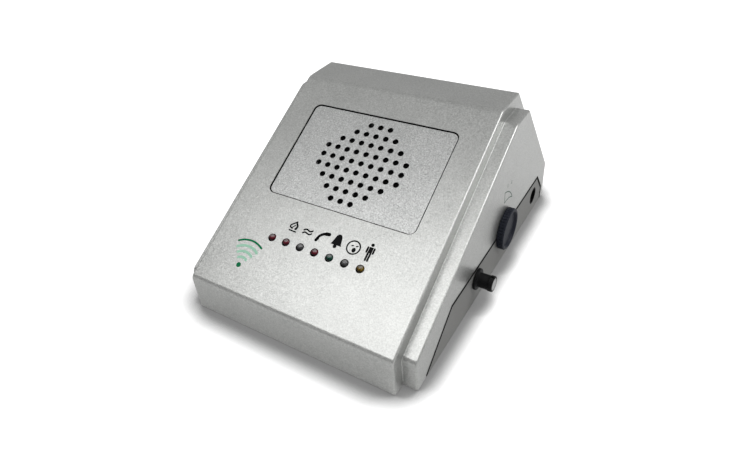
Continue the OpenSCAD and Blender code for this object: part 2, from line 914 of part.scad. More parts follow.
// Potentiometer: can with a hollow for the wiper, a bushing through the bracket, and terminals
module pot() {
    difference() {
        union() {
            translate([0, 0, -pot_back]) cylinder(d = pot_d, h = pot_h);
            translate([0, 0, -pot_back]) cylinder(d = bushing_d, h = pot_back + bushing_end - bracket_x);
            for (i = [-1, 0, 1])
                translate([-terminal_tip, i * terminal_pitch - terminal[1] / 2, -pot_back + terminal[2]])
                    cube(terminal);
        }
        translate([0, 0, -pot_back + pot_wall])
            cylinder(d = wiper_d + 2 * wiper_room, h = pot_h - 2 * pot_wall);
        translate([0, 0, -pot_back + pot_wall]) cylinder(d = shaft_d + 2 * shaft_fit, h = pot_back + side_x);
    }
}

module volume_pot() {
    color(steel) centred() on_side(dial_y, dial_z, bracket_x) pot();
}

module control_pot() {
    color(steel) centred() on_side(knob_y, knob_z, bracket_x) pot();
}

// Shaft with its wiper disc inside the can, up to the height end outside the bracket
module pot_shaft(end) {
    start = -pot_back + pot_wall + wiper_gap;
    translate([0, 0, start]) cylinder(d = wiper_d, h = wiper_t);
    translate([0, 0, start]) cylinder(d = shaft_d, h = end - start);
}

module volume_shaft() {
    color(steel) centred() on_side(dial_y, dial_z, bracket_x)
        pot_shaft(side_x - bracket_x + control_gap + dial_t - dial_web);
}

module control_shaft() {
    color(steel) centred() on_side(knob_y, knob_z, bracket_x)
        pot_shaft(side_x - bracket_x + control_gap + knob_l - knob_web - cap_t);
}

module pot_nuts() {
    color([0.75, 0.75, 0.72]) centred()
        for (p = control_axes)
            on_side(p[0], p[1], bracket_x) difference() {
                cylinder(d = nut_af / cos(30), h = nut_t, $fn = 6);
                translate([0, 0, -past]) cylinder(d = bushing_d + 2 * snug, h = nut_t + 2 * past);
            }
}

// Fluted dial with a bevelled rim and a cupped face
module volume_dial() {
    r = dial_d / 2;
    cup_r = r - dial_rim_w;
    color([0.17, 0.18, 0.21]) centred() on_side(dial_y, dial_z, side_x + control_gap) difference() {
        rotate_extrude($fn = 96) polygon([
            [0, 0],
            [r, 0],
            [r, dial_t - dial_bevel],
            [r - dial_bevel, dial_t],
            [cup_r, dial_t],
            [cup_r - dial_cup_draft, dial_t - dial_cup],
            [0, dial_t - dial_cup]
        ]);
        translate([0, 0, -past]) cylinder(d = shaft_d + 2 * snug, h = dial_t - dial_web + past);
        for (i = [0:dial_flutes - 1])
            rotate(i * 360 / dial_flutes) translate([r + flute_r - flute_depth, 0, -past])
                cylinder(r = flute_r, h = dial_t + 2 * past, $fn = 16);
    }
}

// Collet knob: skirt, waisted grip with a pointer groove, and a seat for the cap
module control_knob() {
    r = knob_d / 2;
    skirt_r = knob_skirt_d / 2;
    waist_r = r - grip_waist;
    color(black) centred() on_side(knob_y, knob_z, side_x + control_gap) difference() {
        rotate_extrude() polygon([
            [0, 0],
            [skirt_r, 0],
            [skirt_r, skirt_t - knob_edge],
            [skirt_r - knob_edge, skirt_t],
            [waist_r + grip_waist, skirt_t],
            [waist_r, skirt_t + grip_waist],
            [waist_r, knob_l - grip_collar_l - 2 * grip_waist],
            [r, knob_l - grip_collar_l],
            [r, knob_l - knob_edge],
            [r - knob_edge, knob_l],
            [0, knob_l]
        ]);
        translate([0, 0, -past]) cylinder(d = shaft_d + 2 * snug, h = knob_l - knob_web - cap_t + past);
        translate([0, 0, knob_l - cap_t]) cylinder(d = cap_d + 2 * snug, h = cap_t + past);
        translate([-r - past, -groove_w / 2, knob_l - grip_collar_l])
            cube([past + groove_w, groove_w, grip_collar_l + past]);
    }
}

module knob_cap() {
    color([0.72, 0.72, 0.72]) centred() on_side(knob_y, knob_z, side_x + control_gap + knob_l - cap_t)
        cylinder(d = cap_d, h = cap_t);
}

// Moulded power socket: a collar through the side panel and a body that stands on the base's rest
module power_inlet() {
    collar_l = side_x - inlet_shoulder_x;
    color(black) centred() difference() {
        union() {
            translate([inlet_back_x, inlet_y - inlet_body[1] / 2, inlet_z - inlet_body[2] / 2])
                cube(inlet_body);
            on_side(inlet_y, inlet_z, inlet_shoulder_x - past) cylinder(d = inlet_d, h = collar_l + past);
        }
        on_side(inlet_y, inlet_z, inlet_mouth_x) cylinder(d = inlet_bore, h = inlet_depth + past);
        on_side(inlet_y, inlet_z, inlet_mouth_x - barrel_l) cylinder(d = barrel_d, h = barrel_l + past);
        on_side(inlet_y, inlet_z, inlet_back_x - past)
            cylinder(d = pin_d + 2 * snug, h = inlet_mouth_x - inlet_back_x);
    }
}

module inlet_pin() {
    color(steel) centred() on_side(inlet_y, inlet_z, inlet_back_x - pin_tail)
        cylinder(d = pin_d, h = inlet_mouth_x - pin_short - inlet_back_x + pin_tail, $fn = 24);
}

// Point of the slope frame in the frame of the case
function slope_point(x, s, h) = [
    x,
    s * cos(slope) - h * sin(slope),
    bottom_z + front_h + s * sin(slope) + h * cos(slope)
];

// Point and direction, at the share t, of a smooth run that leaves p along u and arrives at q along v
function run_point(p, u, q, v, t) =
    let (k = norm(q - p) / 3, m = 1 - t)
    m * m * (m * p + 3 * t * (p + k * u)) + t * t * (t * q + 3 * m * (q - k * v));

function run_direction(p, u, q, v, t) =
    let (k = norm(q - p) / 3, m = 1 - t)
    unit(m * m * k * u + 2 * m * t * (q - p - k * (u + v)) + t * t * k * v);

// Vectors square to the directions, carried from one to the next without twist
function carried(directions, side, i = 0) =
    i == len(directions)
    ? []
    : let (next = unit(side - (side * directions[i]) * directions[i]))
      concat([next], carried(directions, next, i + 1));

// Insulated wire that leaves p along u and arrives at q along v
module wire(p, u, q, v) {
    n = wire_sides;
    shares = [for (i = [0:wire_steps]) i / wire_steps];
    directions = [for (t = shares) run_direction(p, u, q, v, t)];
    sides = carried(directions, [u[1], u[2], u[0]]);
    points = [
        for (i = [0:wire_steps], j = [0:n - 1])
            run_point(p, u, q, v, shares[i])
            + wire_d / 2 * cos(j * 360 / n) * sides[i]
            + wire_d / 2 * sin(j * 360 / n) * cross(directions[i], sides[i])
    ];
    walls = [
        for (i = [0:wire_steps - 1], j = [0:n - 1])
            let (a = i * n + j, b = i * n + (j + 1) % n)
            each [[a, a + n, b + n], [a, b + n, b]]
    ];
    caps = [[for (j = [0:n - 1]) j], [for (j = [n - 1:-1:0]) wire_steps * n + j]];
    polyhedron(points = points, faces = concat(walls, caps));
}

// Top of wire i out of count on a header
function header_wire(place, i, count) = [
    place[0] + (i - (count - 1) / 2) * wire_pitch,
    place[1],
    header_top
];

// Wires from the LED board, the speaker, both potentiometers and the inlet to the main board's headers
module wiring() {
    down = [0, 0, -1];
    inner = [-1, 0, 0];
    under = [0, sin(slope), -cos(slope)];
    rim_z = -tray_h - gasket_t - rim_t;
    rim_r = speaker_d / 2 - rim_step / 2;
    terminal_x = bracket_x - pot_back + terminal[2];
    terminal_z = terminal_tip - wire_d;
    color([0.6, 0.1, 0.1]) centred() {
        for (i = [0, 1]) {
            led_end = header_wire(header_place(0), i, 2);
            wire(slope_point(led_end[0], led_s + wire_up, led_board_z), under, led_end, down);
            turn = asin((i - 0.5) * wire_pitch / rim_r);
            rim_point = slope_point(rim_r * sin(turn), panel_s - rim_r * cos(turn), rim_z);
            wire(rim_point, under, header_wire(header_place(1), i, 2), down);
            inlet_end = [inlet_back_x - (1 - i) * pin_tail, inlet_y - i * wire_up, inlet_z];
            wire(inlet_end, inner, header_wire(header_place(4), i, 2), down);
        }
        for (k = [0, 1], i = [-1, 0, 1])
            wire(
                [terminal_x, control_axes[k][0] + i * terminal_pitch, control_axes[k][1] + terminal_z],
                inner,
                header_wire(header_place(3 - k), 1 - i, 3),
                down
            );
    }
}

module case_screws() {
    color(steel) centred() at_case_posts() translate([0, 0, case_head_z]) screw(case_screw, case_screw_l);
}

module rubber_feet() {
    color(black) centred() at_feet() cylinder(d = foot_d, h = foot_t);
}

top_cover();
base_tray();
speaker_panel();
speaker_cloth();
speaker_gasket();
speaker_basket();
speaker_cone();
speaker_magnet();
speaker_clips();
speaker_screws();
led_board();
led_board_screws();
red_leds();
clear_leds();
green_led();
yellow_led();
led_leads();
main_board();
board_parts();
radio_module();
aerial();
board_screws();
control_bracket();
bracket_screws();
volume_pot();
volume_shaft();
volume_dial();
control_pot();
control_shaft();
control_knob();
knob_cap();
pot_nuts();
power_inlet();
inlet_pin();
wiring();
case_screws();
rubber_feet();
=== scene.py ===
"""Looks of the alarm signal receiver.

Finishes, seals, LEDs, printed signs, studio and camera round its CAD frame.
"""

import logging
import math
from abc import ABC, abstractmethod
from collections.abc import Sequence
from dataclasses import dataclass, field
from enum import Enum

import bmesh
import bpy
from mathutils import Matrix, Vector


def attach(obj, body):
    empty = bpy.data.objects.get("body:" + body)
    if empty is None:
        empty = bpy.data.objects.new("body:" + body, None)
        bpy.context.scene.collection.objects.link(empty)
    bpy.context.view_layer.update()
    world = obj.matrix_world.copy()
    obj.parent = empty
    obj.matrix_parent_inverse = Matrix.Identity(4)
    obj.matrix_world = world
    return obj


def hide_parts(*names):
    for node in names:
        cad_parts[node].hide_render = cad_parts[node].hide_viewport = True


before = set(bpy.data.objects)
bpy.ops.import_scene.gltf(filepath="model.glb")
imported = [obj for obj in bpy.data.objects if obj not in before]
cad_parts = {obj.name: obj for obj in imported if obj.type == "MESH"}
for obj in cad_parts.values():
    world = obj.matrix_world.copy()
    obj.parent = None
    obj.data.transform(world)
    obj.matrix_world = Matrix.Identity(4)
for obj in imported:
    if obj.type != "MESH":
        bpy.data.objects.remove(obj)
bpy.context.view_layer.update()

MM = 0.001
CASE_BODY = "case"
LOG = logging.getLogger("receiver")
SMOOTH_CREASE = math.radians(40)
ON_AXIS = 1e-6
FINE_DETAIL = 3.0

Colour = tuple[float, float, float]
Triple = tuple[float, float, float]
Point = tuple[float, float]
Outline = list[Point]
Mesh = bmesh.types.BMesh
Piece = bpy.types.Object
Socket = bpy.types.NodeSocket

WHITE: Colour = (1.0, 1.0, 1.0)
BLACK: Colour = (0.0, 0.0, 0.0)


def linear(red: int, green: int, blue: int) -> Colour:
    """Turns a screen colour, from 0 to 255, into the linear one by the sRGB curve."""
    shares = [value / 255 for value in (red, green, blue)]
    return tuple(s / 12.92 if s <= 0.04045 else ((s + 0.055) / 1.055) ** 2.4 for s in shares)


def scaled(colour: Colour, factor: float) -> Colour:
    """Makes a linear colour lighter or darker, by a factor on each channel."""
    return tuple(min(1.0, channel * factor) for channel in colour)


class Shader:
    """One material's node tree, with its principled shader and object coordinates at hand."""

    MIX_FACTOR, MIX_A, MIX_B, MIX_RESULT = 0, 6, 7, 2

    def __init__(self, name: str) -> None:
        """Starts an empty material.

        Args:
            name: Name of the material.
        """
        self.material = bpy.data.materials.new(name)
        self.material.use_nodes = True
        self.tree = self.material.node_tree
        self.bsdf = self.tree.nodes["Principled BSDF"]
        places = self.add("TexCoord").outputs
        self.place = places["Object"]
        self.facing = places["Normal"]

    def add(self, kind: str, inputs: dict | None = None, **settings: object) -> bpy.types.Node:
        """Adds a node.

        Args:
            kind: Type name of the node, after ShaderNode.
            inputs: Values or sockets for its inputs, by name or number.
            settings: Properties of the node.

        Returns:
            The new node.
        """
        node = self.tree.nodes.new(f"ShaderNode{kind}")
        for key, value in settings.items():
            setattr(node, key, value)
        for key, value in (inputs or {}).items():
            self.feed(node.inputs[key], value)
        return node

    def feed(self, socket: Socket, value: object) -> None:
        """Links a socket to an input, or sets the input's value.

        Args:
            socket: The input.
            value: A socket, a number, or a colour or vector.
        """
        if isinstance(value, Socket):
            self.tree.links.new(value, socket)
        elif socket.type == "RGBA":
            socket.default_value = (*value, 1.0)
        else:
            socket.default_value = value

    def set(self, **inputs: object) -> None:
        """Sets inputs of the principled shader, with underscores for spaces."""
        for key, value in inputs.items():
            self.feed(self.bsdf.inputs[key.replace("_", " ")], value)

    def noise(self, size: float, detail: float = 2.0, stretch: Triple = (1, 1, 1)) -> Socket:
        """Adds a soft noise.

        Args:
            size: Size of its spots, in metres.
            detail: Octaves of finer noise.
            stretch: Factor on the coordinates along each axis.

        Returns:
            The noise's value, from 0 to 1.
        """
        place = self.place
        if stretch != (1, 1, 1):
            mapping = self.add("Mapping", {"Vector": place, "Scale": stretch})
            place = mapping.outputs["Vector"]
        inputs = {"Vector": place, "Scale": 1 / size, "Detail": detail}
        return self.add("TexNoise", inputs).outputs["Fac"]

    def cells(self, size: float) -> Socket:
        """Adds flakes of a size in metres, and gives their colours."""
        inputs = {"Vector": self.place, "Scale": 1 / size}
        return self.add("TexVoronoi", inputs).outputs["Color"]

    def spread(self, value: Socket, low: float | Socket, high: float,
               start: float = 0.3, end: float = 0.7) -> Socket:
        """Maps a value so that start gives low, and end gives high."""
        return self.add("MapRange", {
            "Value": value, "From Min": start, "From Max": end, "To Min": low, "To Max": high,
        }).outputs["Result"]

    def around(self, value: Socket, middle: float, reach: float) -> Socket:
        """Varies a number about its middle with a value."""
        return self.spread(value, middle - reach, middle + reach)

    def mix(self, factor: object, a: object, b: object, blend: str = "MIX") -> Socket:
        """Mixes two colours.

        Args:
            factor: Share of the second colour.
            a: First colour.
            b: Second colour.
            blend: Way of mixing.

        Returns:
            The mixed colour.
        """
        inputs = {self.MIX_FACTOR: factor, self.MIX_A: a, self.MIX_B: b}
        node = self.add("Mix", inputs, data_type="RGBA", blend_type=blend)
        return node.outputs[self.MIX_RESULT]

    def shades(self, factor: object, colour: Colour, tones: Point) -> Socket:
        """Mixes a darker and a lighter tone of a colour, by their factors."""
        return self.mix(factor, *(scaled(colour, tone) for tone in tones))

    def compute(self, operation: str, a: object, b: object) -> Socket:
        """Adds an operation on two numbers."""
        return self.add("Math", {0: a, 1: b}, operation=operation).outputs[0]

    def vector(self, operation: str, inputs: dict, output: str = "Vector") -> Socket:
        """Adds an operation on vectors, and gives the named output."""
        return self.add("VectorMath", inputs, operation=operation).outputs[output]

    def bump(self, height: Socket, depth: float, strength: float = 1.0) -> Socket:
        """Turns a height, from 0 to 1, into a normal with bumps of a depth in metres."""
        inputs = {"Height": height, "Distance": depth, "Strength": strength}
        return self.add("Bump", inputs).outputs["Normal"]


@dataclass(frozen=True)
class Finish(ABC):
    """A surface finish, which makes one material."""

    name: str
    colour: Colour
    roughness: float = 0.5

    def material(self) -> bpy.types.Material:
        """Gives the finish's material, made once.

        Returns:
            The material.
        """
        found = bpy.data.materials.get(self.name)
        if found:
            return found
        shader = Shader(self.name)
        self.shade(shader)
        return shader.material

    @abstractmethod
    def shade(self, shader: Shader) -> None:
        """Sets the shader's nodes for this finish."""

    def dress(self, piece: Piece) -> None:
        """Puts the finish on every material slot of a piece.

        Args:
            piece: A piece or a CAD node.
        """
        if not piece.material_slots:
            piece.data.materials.append(self.material())
        for place in piece.material_slots:
            place.material = self.material()


@dataclass(frozen=True)
class SpecklePaint(Finish):
    """Silver paint with metal flakes under a satin top."""

    metallic: float = 0.85
    flake: float = 0.45 * MM
    grain: float = 1.0 * MM
    cloud: float = 22 * MM
    speckle: float = 0.11
    clouding: float = 0.03
    tilt: float = 0.06
    gloss_range: float = 0.04
    depth: float = 0.02 * MM
    bump_strength: float = 0.5

    def shade(self, shader: Shader) -> None:
        """Varies colour, roughness and normal from flake to flake.

        Args:
            shader: The material's shader.
        """
        flakes = shader.cells(self.flake)
        level = shader.add("SeparateColor", {"Color": flakes}).outputs["Red"]
        light = shader.shades(level, self.colour, (1 - self.speckle, 1 + self.speckle))
        grain = shader.around(shader.noise(self.grain, detail=1.0), 1.0, self.speckle)
        grained = shader.mix(1.0, light, grain, "MULTIPLY")
        cloud = shader.around(shader.noise(self.cloud), 1.0, self.clouding)
        clouded = shader.mix(1.0, grained, cloud, "MULTIPLY")
        away = shader.vector("SUBTRACT", {0: flakes, 1: (0.5, 0.5, 0.5)})
        lean = shader.vector("SCALE", {0: away, "Scale": self.tilt})
        bumpy = shader.bump(shader.noise(self.grain), self.depth, self.bump_strength)
        turned = shader.vector("ADD", {0: bumpy, 1: lean})
        shader.set(
            Base_Color=self.coat(shader, clouded),
            Metallic=self.metallic,
            Normal=shader.vector("NORMALIZE", {0: turned}),
            Roughness=shader.around(shader.noise(self.grain), self.roughness, self.gloss_range),
        )

    def coat(self, shader: Shader, paint: Socket) -> Socket:
        """Gives the colour where paint lies, which is everywhere."""
        return paint


@dataclass(frozen=True)
class FacePaint(SpecklePaint):
    """Speckle paint on the face of a black part, whose edges and bores stay black; that black also
    stands in for the shade in the holes and round the panel.
    """

    face: Triple = (0.0, -0.4795, 0.8775)
    # Unpainted black, which also paints shade into the bores and the panel's edges.
    bare_black_as_bore_shade: Colour = linear(12, 12, 13)
    edge_range: Point = (0.8, 0.95)

    def coat(self, shader: Shader, paint: Socket) -> Socket:
        """Leaves the black uncovered where the surface turns away from the face, which paints
        shade into the bores and the panel's edges.
        """
        turned = shader.vector("DOT_PRODUCT", {0: shader.facing, 1: self.face}, "Value")
        return shader.mix(shader.spread(turned, 0.0, 1.0, *self.edge_range), self.bare_black_as_bore_shade, paint)


@dataclass(frozen=True)
class MouldedPlastic(Finish):
    """Moulded plastic with a fine spark-eroded grain."""

    grain: float = 0.5 * MM
    grains_per_patch: float = 30.0
    depth: float = 0.03 * MM
    variation: float = 0.10
    crest: float = 0.25
    specular: float = 0.5
    gloss_range: float = 0.06
    bump_strength: float = 0.6

    def shade(self, shader: Shader) -> None:
        """Adds the grain, and slow changes of tone.

        Args:
            shader: The material's shader.
        """
        grain = shader.noise(self.grain, FINE_DETAIL)
        patches = shader.noise(self.grains_per_patch * self.grain)
        tone = shader.shades(patches, self.colour, (1 - self.variation, 1 + self.variation))
        light = scaled(self.colour, 1 + 2 * self.variation)
        shader.set(
            Base_Color=shader.mix(shader.spread(grain, 0.0, self.crest), tone, light),
            Roughness=shader.around(grain, self.roughness, self.gloss_range),
            Specular_IOR_Level=self.specular,
            Normal=shader.bump(grain, self.depth, self.bump_strength),
        )


@dataclass(frozen=True)
class TintedLens(Finish):
    """Slightly cloudy epoxy of an LED, with a painted highlight at its top and painted shade
    towards its rim.
    """

    roughness: float = 0.04
    gloss_range: float = 0.05
    flow: float = 1.2 * MM
    tones: Point = (0.92, 1.08)
    # Painted highlight: share of white mixed into the tint where the surface faces out along the
    # LED's axis.
    crown_highlight: float = 0.8
    crown_highlight_range: Point = (0.74, 0.95)
    # Painted shade: the tint darkens to this share towards the rim, where the surface turns away.
    rim: float = 0.05
    rim_shade_range: Point = (0.4, 0.82)
    clear: float = 0.8
    specular: float = 0.08
    index: float = 1.25

    def shade(self, shader: Shader) -> None:
        """Lets light through the tinted body, with faint flow lines, a painted highlight at the
        top and painted shade at the rim.

        Args:
            shader: The material's shader.
        """
        flow = shader.noise(self.flow)
        body = shader.shades(flow, self.colour, self.tones)
        rise = shader.add("SeparateXYZ", {"Vector": shader.facing}).outputs["Z"]
        # Painted highlight where the surface faces out along the axis.
        crown_highlight = shader.spread(rise, 0.0, self.crown_highlight, *self.crown_highlight_range)
        highlighted = shader.mix(crown_highlight, body, WHITE)
        # Painted shade towards the rim.
        rim = shader.spread(rise, 1.0, 0.0, *self.rim_shade_range)
        shader.set(
            Base_Color=shader.mix(rim, highlighted, scaled(self.colour, self.rim)),
            Roughness=shader.spread(flow, self.roughness, self.roughness + self.gloss_range),
            Transmission_Weight=self.clear,
            Specular_IOR_Level=self.specular,
            IOR=self.index,
        )


@dataclass(frozen=True)
class PlatedMetal(Finish):
    """Plated or drawn metal with fine drawing lines along X."""

    roughness: float = 0.3
    line: float = 0.25 * MM
    drawn: Triple = (0.04, 1, 1)
    tones: Point = (0.88, 1.1)
    smoother: float = 0.06
    rougher: float = 0.08
    depth: float = 0.01 * MM
    bump_strength: float = 0.4

    def shade(self, shader: Shader) -> None:
        """Draws lines in tone and roughness."""
        lines = shader.noise(self.line, FINE_DETAIL, self.drawn)
        shader.set(
            Base_Color=shader.shades(lines, self.colour, self.tones),
            Metallic=1.0,
            Roughness=shader.spread(
                lines, self.roughness - self.smoother, self.roughness + self.rougher,
            ),
            Normal=shader.bump(lines, self.depth, self.bump_strength),
        )


@dataclass(frozen=True)
class WovenCloth(Finish):
    """Open speaker cloth of crossing threads."""

    roughness: float = 0.9
    thread: float = 0.6 * MM
    waves_per_thread: float = 0.16
    wander: float = 0.6
    tones: Point = (0.5, 1.6)
    specular: float = 0.1
    depth: float = 0.1 * MM

    def shade(self, shader: Shader) -> None:
        """Weaves two sets of threads.

        Args:
            shader: The material's shader.
        """
        scale = self.waves_per_thread / self.thread
        inputs = {"Vector": shader.place, "Scale": scale, "Distortion": self.wander}
        across, along = (
            shader.add("TexWave", inputs, bands_direction=direction).outputs["Fac"]
            for direction in ("X", "Y")
        )
        weave = shader.compute("MULTIPLY", across, along)
        shader.set(
            Base_Color=shader.shades(weave, self.colour, self.tones),
            Roughness=self.roughness,
            Specular_IOR_Level=self.specular,
            Normal=shader.bump(weave, self.depth),
        )


@dataclass(frozen=True)
class CircuitBoard(Finish):
    """Glass-fibre board with lacquered copper tracks."""

    roughness: float = 0.35
    track: Colour = (0.05, 0.22, 0.10)
    pitch: float = 4 * MM
    track_share: float = 0.06
    stagger: float = 0.85
    fibre: float = 0.6 * MM
    fibre_share: float = 0.3
    lacquer: float = 2 * MM
    gloss_range: float = 0.05
    depth: float = 0.04 * MM
    bump_strength: float = 0.5

    def shade(self, shader: Shader) -> None:
        """Lays tracks in a staggered pattern under the lacquer.

        Args:
            shader: The material's shader.
        """
        tracks = shader.add("TexBrick", {
            "Vector": shader.place, "Scale": 1 / self.pitch, "Mortar Size": self.track_share,
            "Color1": self.colour, "Color2": scaled(self.colour, self.stagger),
            "Mortar": self.track,
        }).outputs
        fibres = shader.spread(shader.noise(self.fibre), 0.0, self.fibre_share)
        shader.set(
            Base_Color=shader.mix(fibres, tracks["Color"], self.colour),
            Roughness=shader.around(shader.noise(self.lacquer), self.roughness, self.gloss_range),
            Normal=shader.bump(tracks["Fac"], self.depth, self.bump_strength),
        )


@dataclass(frozen=True)
class PrintedInk(Finish):
    """Screen-printed ink, slightly uneven."""

    roughness: float = 0.65
    mottle: float = 0.5 * MM
    tones: Point = (0.8, 1.25)
    gloss_range: float = 0.08
    specular: float = 0.1
    depth: float = 0.01 * MM
    bump_strength: float = 0.4

    def shade(self, shader: Shader) -> None:
        """Mottles the ink."""
        mottle = shader.noise(self.mottle, FINE_DETAIL)
        shader.set(
            Base_Color=shader.shades(mottle, self.colour, self.tones),
            Roughness=shader.around(mottle, self.roughness, self.gloss_range),
            Specular_IOR_Level=self.specular,
            Normal=shader.bump(mottle, self.depth, self.bump_strength),
        )


@dataclass(frozen=True)
class StudioFloor(Finish):
    """Pale matt floor that reads as white, keeps soft shadows, and has a painted contact shadow
    round the object.
    """

    roughness: float = 0.9
    lift_near: float = 0.6
    mirrored_near: float = 0.05
    lift_far: float = 1.0
    lift_range: Point = (0.2, 3.0)
    # Painted contact shadow: its reach in front, its reach beside the right side, and its darkest
    # share.
    contact: float = 20.5 * MM
    contact_beside: float = 15 * MM
    beside_range: Point = (70 * MM, 95 * MM)
    contact_shade: float = 0.22
    contact_range: Point = (0.6, 0.98)
    mottle: float = 40 * MM
    tones: Point = (0.995, 1.005)

    def shade(self, shader: Shader) -> None:
        """Lifts what is seen to white, less so near the object, and paints a contact shadow where
        the object touches the floor.

        Args:
            shader: The material's shader.
        """
        rays = shader.add("LightPath").outputs
        by_camera = rays["Is Camera Ray"]
        seen = shader.compute("MAXIMUM", by_camera, rays["Is Glossy Ray"])
        all_seen = shader.compute("MAXIMUM", seen, rays["Is Transmission Ray"])
        # Painted contact shadow, for camera rays only: ambient occlusion darkens the floor's
        # colour and lift near the object, over a shorter reach beside its right side.
        beside = shader.add("SeparateXYZ", {"Vector": shader.place}).outputs["X"]
        reach = shader.spread(beside, self.contact, self.contact_beside, *self.beside_range)
        open_sky = shader.add("AmbientOcclusion", {"Distance": reach}).outputs["AO"]
        contact = shader.spread(open_sky, self.contact_shade, 1.0, *self.contact_range)
        elsewhere = shader.spread(by_camera, 1.0, 0.0, 0.0, 1.0)
        shadow = shader.compute("MAXIMUM", contact, elsewhere)
        # The lift grows with distance from the object, which paints shade on the floor near it,
        # most for glossy rays.
        distance = shader.vector("LENGTH", {0: shader.place}, "Value")
        lift_near = shader.spread(by_camera, self.mirrored_near, self.lift_near, 0.0, 1.0)
        lift = shader.spread(distance, lift_near, self.lift_far, *self.lift_range)
        shaded_lift = shader.compute("MULTIPLY", lift, shadow)
        pale = shader.shades(shader.noise(self.mottle), self.colour, self.tones)
        shader.set(
            Base_Color=shader.mix(shadow, BLACK, pale),
            Roughness=self.roughness,
            Specular_IOR_Level=0.0,
            Emission_Color=WHITE,
            Emission_Strength=shader.compute("MULTIPLY", all_seen, shaded_lift),
        )


SILVER = SpecklePaint("silver_speckle_paint", linear(174, 175, 173), 0.32)
PANEL_SILVER = FacePaint(
    "panel_speckle_paint", linear(176, 177, 176), 0.35, grain=0.9 * MM, speckle=0.19,
)
BASE_GREY = MouldedPlastic("base_grey_plastic", linear(106, 106, 104), 0.5, specular=0.35)
KNOB_BLACK = MouldedPlastic("knob_black_plastic", linear(9, 9, 10), 0.55, specular=0.15)
DIAL_BLACK = MouldedPlastic("dial_blue_black_plastic", linear(28, 31, 40), 0.5, specular=0.15)
CAP_GREY = MouldedPlastic("cap_grey_plastic", linear(165, 165, 165), 0.6, specular=0.1)
SOCKET_BLACK = MouldedPlastic("socket_black_plastic", linear(9, 9, 10), 0.6, specular=0.05)
FOOT_RUBBER = MouldedPlastic("foot_rubber", linear(32, 32, 32), 0.8, grain=0.8 * MM)
# Black rubber, which also stands in for the shade in the side seams, round the panel and round
# each LED.
SEAL_BLACK_AS_GAP_SHADE = MouldedPlastic("black_seal_as_gap_shade", linear(10, 10, 10), 0.85, specular=0.1)
FOAM = MouldedPlastic("gasket_foam", linear(40, 40, 40), 0.95, grain=0.9 * MM, depth=0.2 * MM)
CONE_PAPER = MouldedPlastic("cone_paper", linear(52, 48, 44), 0.9, grain=1.2 * MM, depth=0.1 * MM)
FERRITE = MouldedPlastic("magnet_ferrite", linear(62, 62, 65), 0.7, grain=0.6 * MM)
CHIP_BLACK = MouldedPlastic("chip_black", linear(36, 36, 38), 0.5)
WIRE_RED = MouldedPlastic("wire_red", linear(150, 32, 30), 0.45)
CLOTH = WovenCloth("speaker_cloth_black", linear(9, 9, 9))
STEEL = PlatedMetal("plated_steel", linear(200, 200, 204))
BRASS = PlatedMetal("nickel_brass", linear(210, 204, 188), 0.25)
COPPER = PlatedMetal("aerial_copper", linear(190, 130, 90), 0.3)
BOARD_GREEN = CircuitBoard("board_green", linear(20, 84, 52))
INK_BLACK = PrintedInk("ink_black", linear(8, 8, 10))
INK_GREEN = PrintedInk("ink_green", linear(16, 104, 66))
INK_PALE_GREEN = PrintedInk("ink_pale_green", linear(150, 192, 170))
INK_GREY = PrintedInk("ink_grey_green", linear(92, 108, 100))
FLOOR_WHITE = StudioFloor("studio_floor", (0.76, 0.76, 0.76))


def node_object(name: str) -> Piece:
    """Gives the object of a CAD node."""
    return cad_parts[name]


def new_piece(name: str, mesh: Mesh, place: Matrix, finish: Finish, smooth: bool = False) -> Piece:
    """Makes an object from a mesh, in the frame's metres.

    Args:
        name: Name of the piece.
        mesh: Its mesh, in millimetres of its own place. It is freed.
        place: Where its own place lies in the frame.
        finish: Finish of the piece.
        smooth: Whether its faces are shaded smooth up to a crease.

    Returns:
        The piece.
    """
    data = bpy.data.meshes.new(name)
    bmesh.ops.recalc_face_normals(mesh, faces=mesh.faces)
    mesh.transform(place @ Matrix.Scale(MM, 4))
    mesh.to_mesh(data)
    mesh.free()
    if smooth:
        data.shade_smooth()
        data.set_sharp_from_angle(angle=SMOOTH_CREASE)
    piece = bpy.data.objects.new(name, data)
    bpy.context.scene.collection.objects.link(piece)
    finish.dress(piece)
    return piece


def seat(piece: Piece, stands_for: Sequence[str] = ()) -> None:
    """Fastens a piece to the case, and hides the CAD nodes that it stands for.

    Args:
        piece: The piece.
        stands_for: CAD nodes that it replaces.
    """
    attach(piece, CASE_BODY)
    if stands_for:
        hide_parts(*stands_for)
    LOG.info("piece %s rides on %s", piece.name, CASE_BODY)


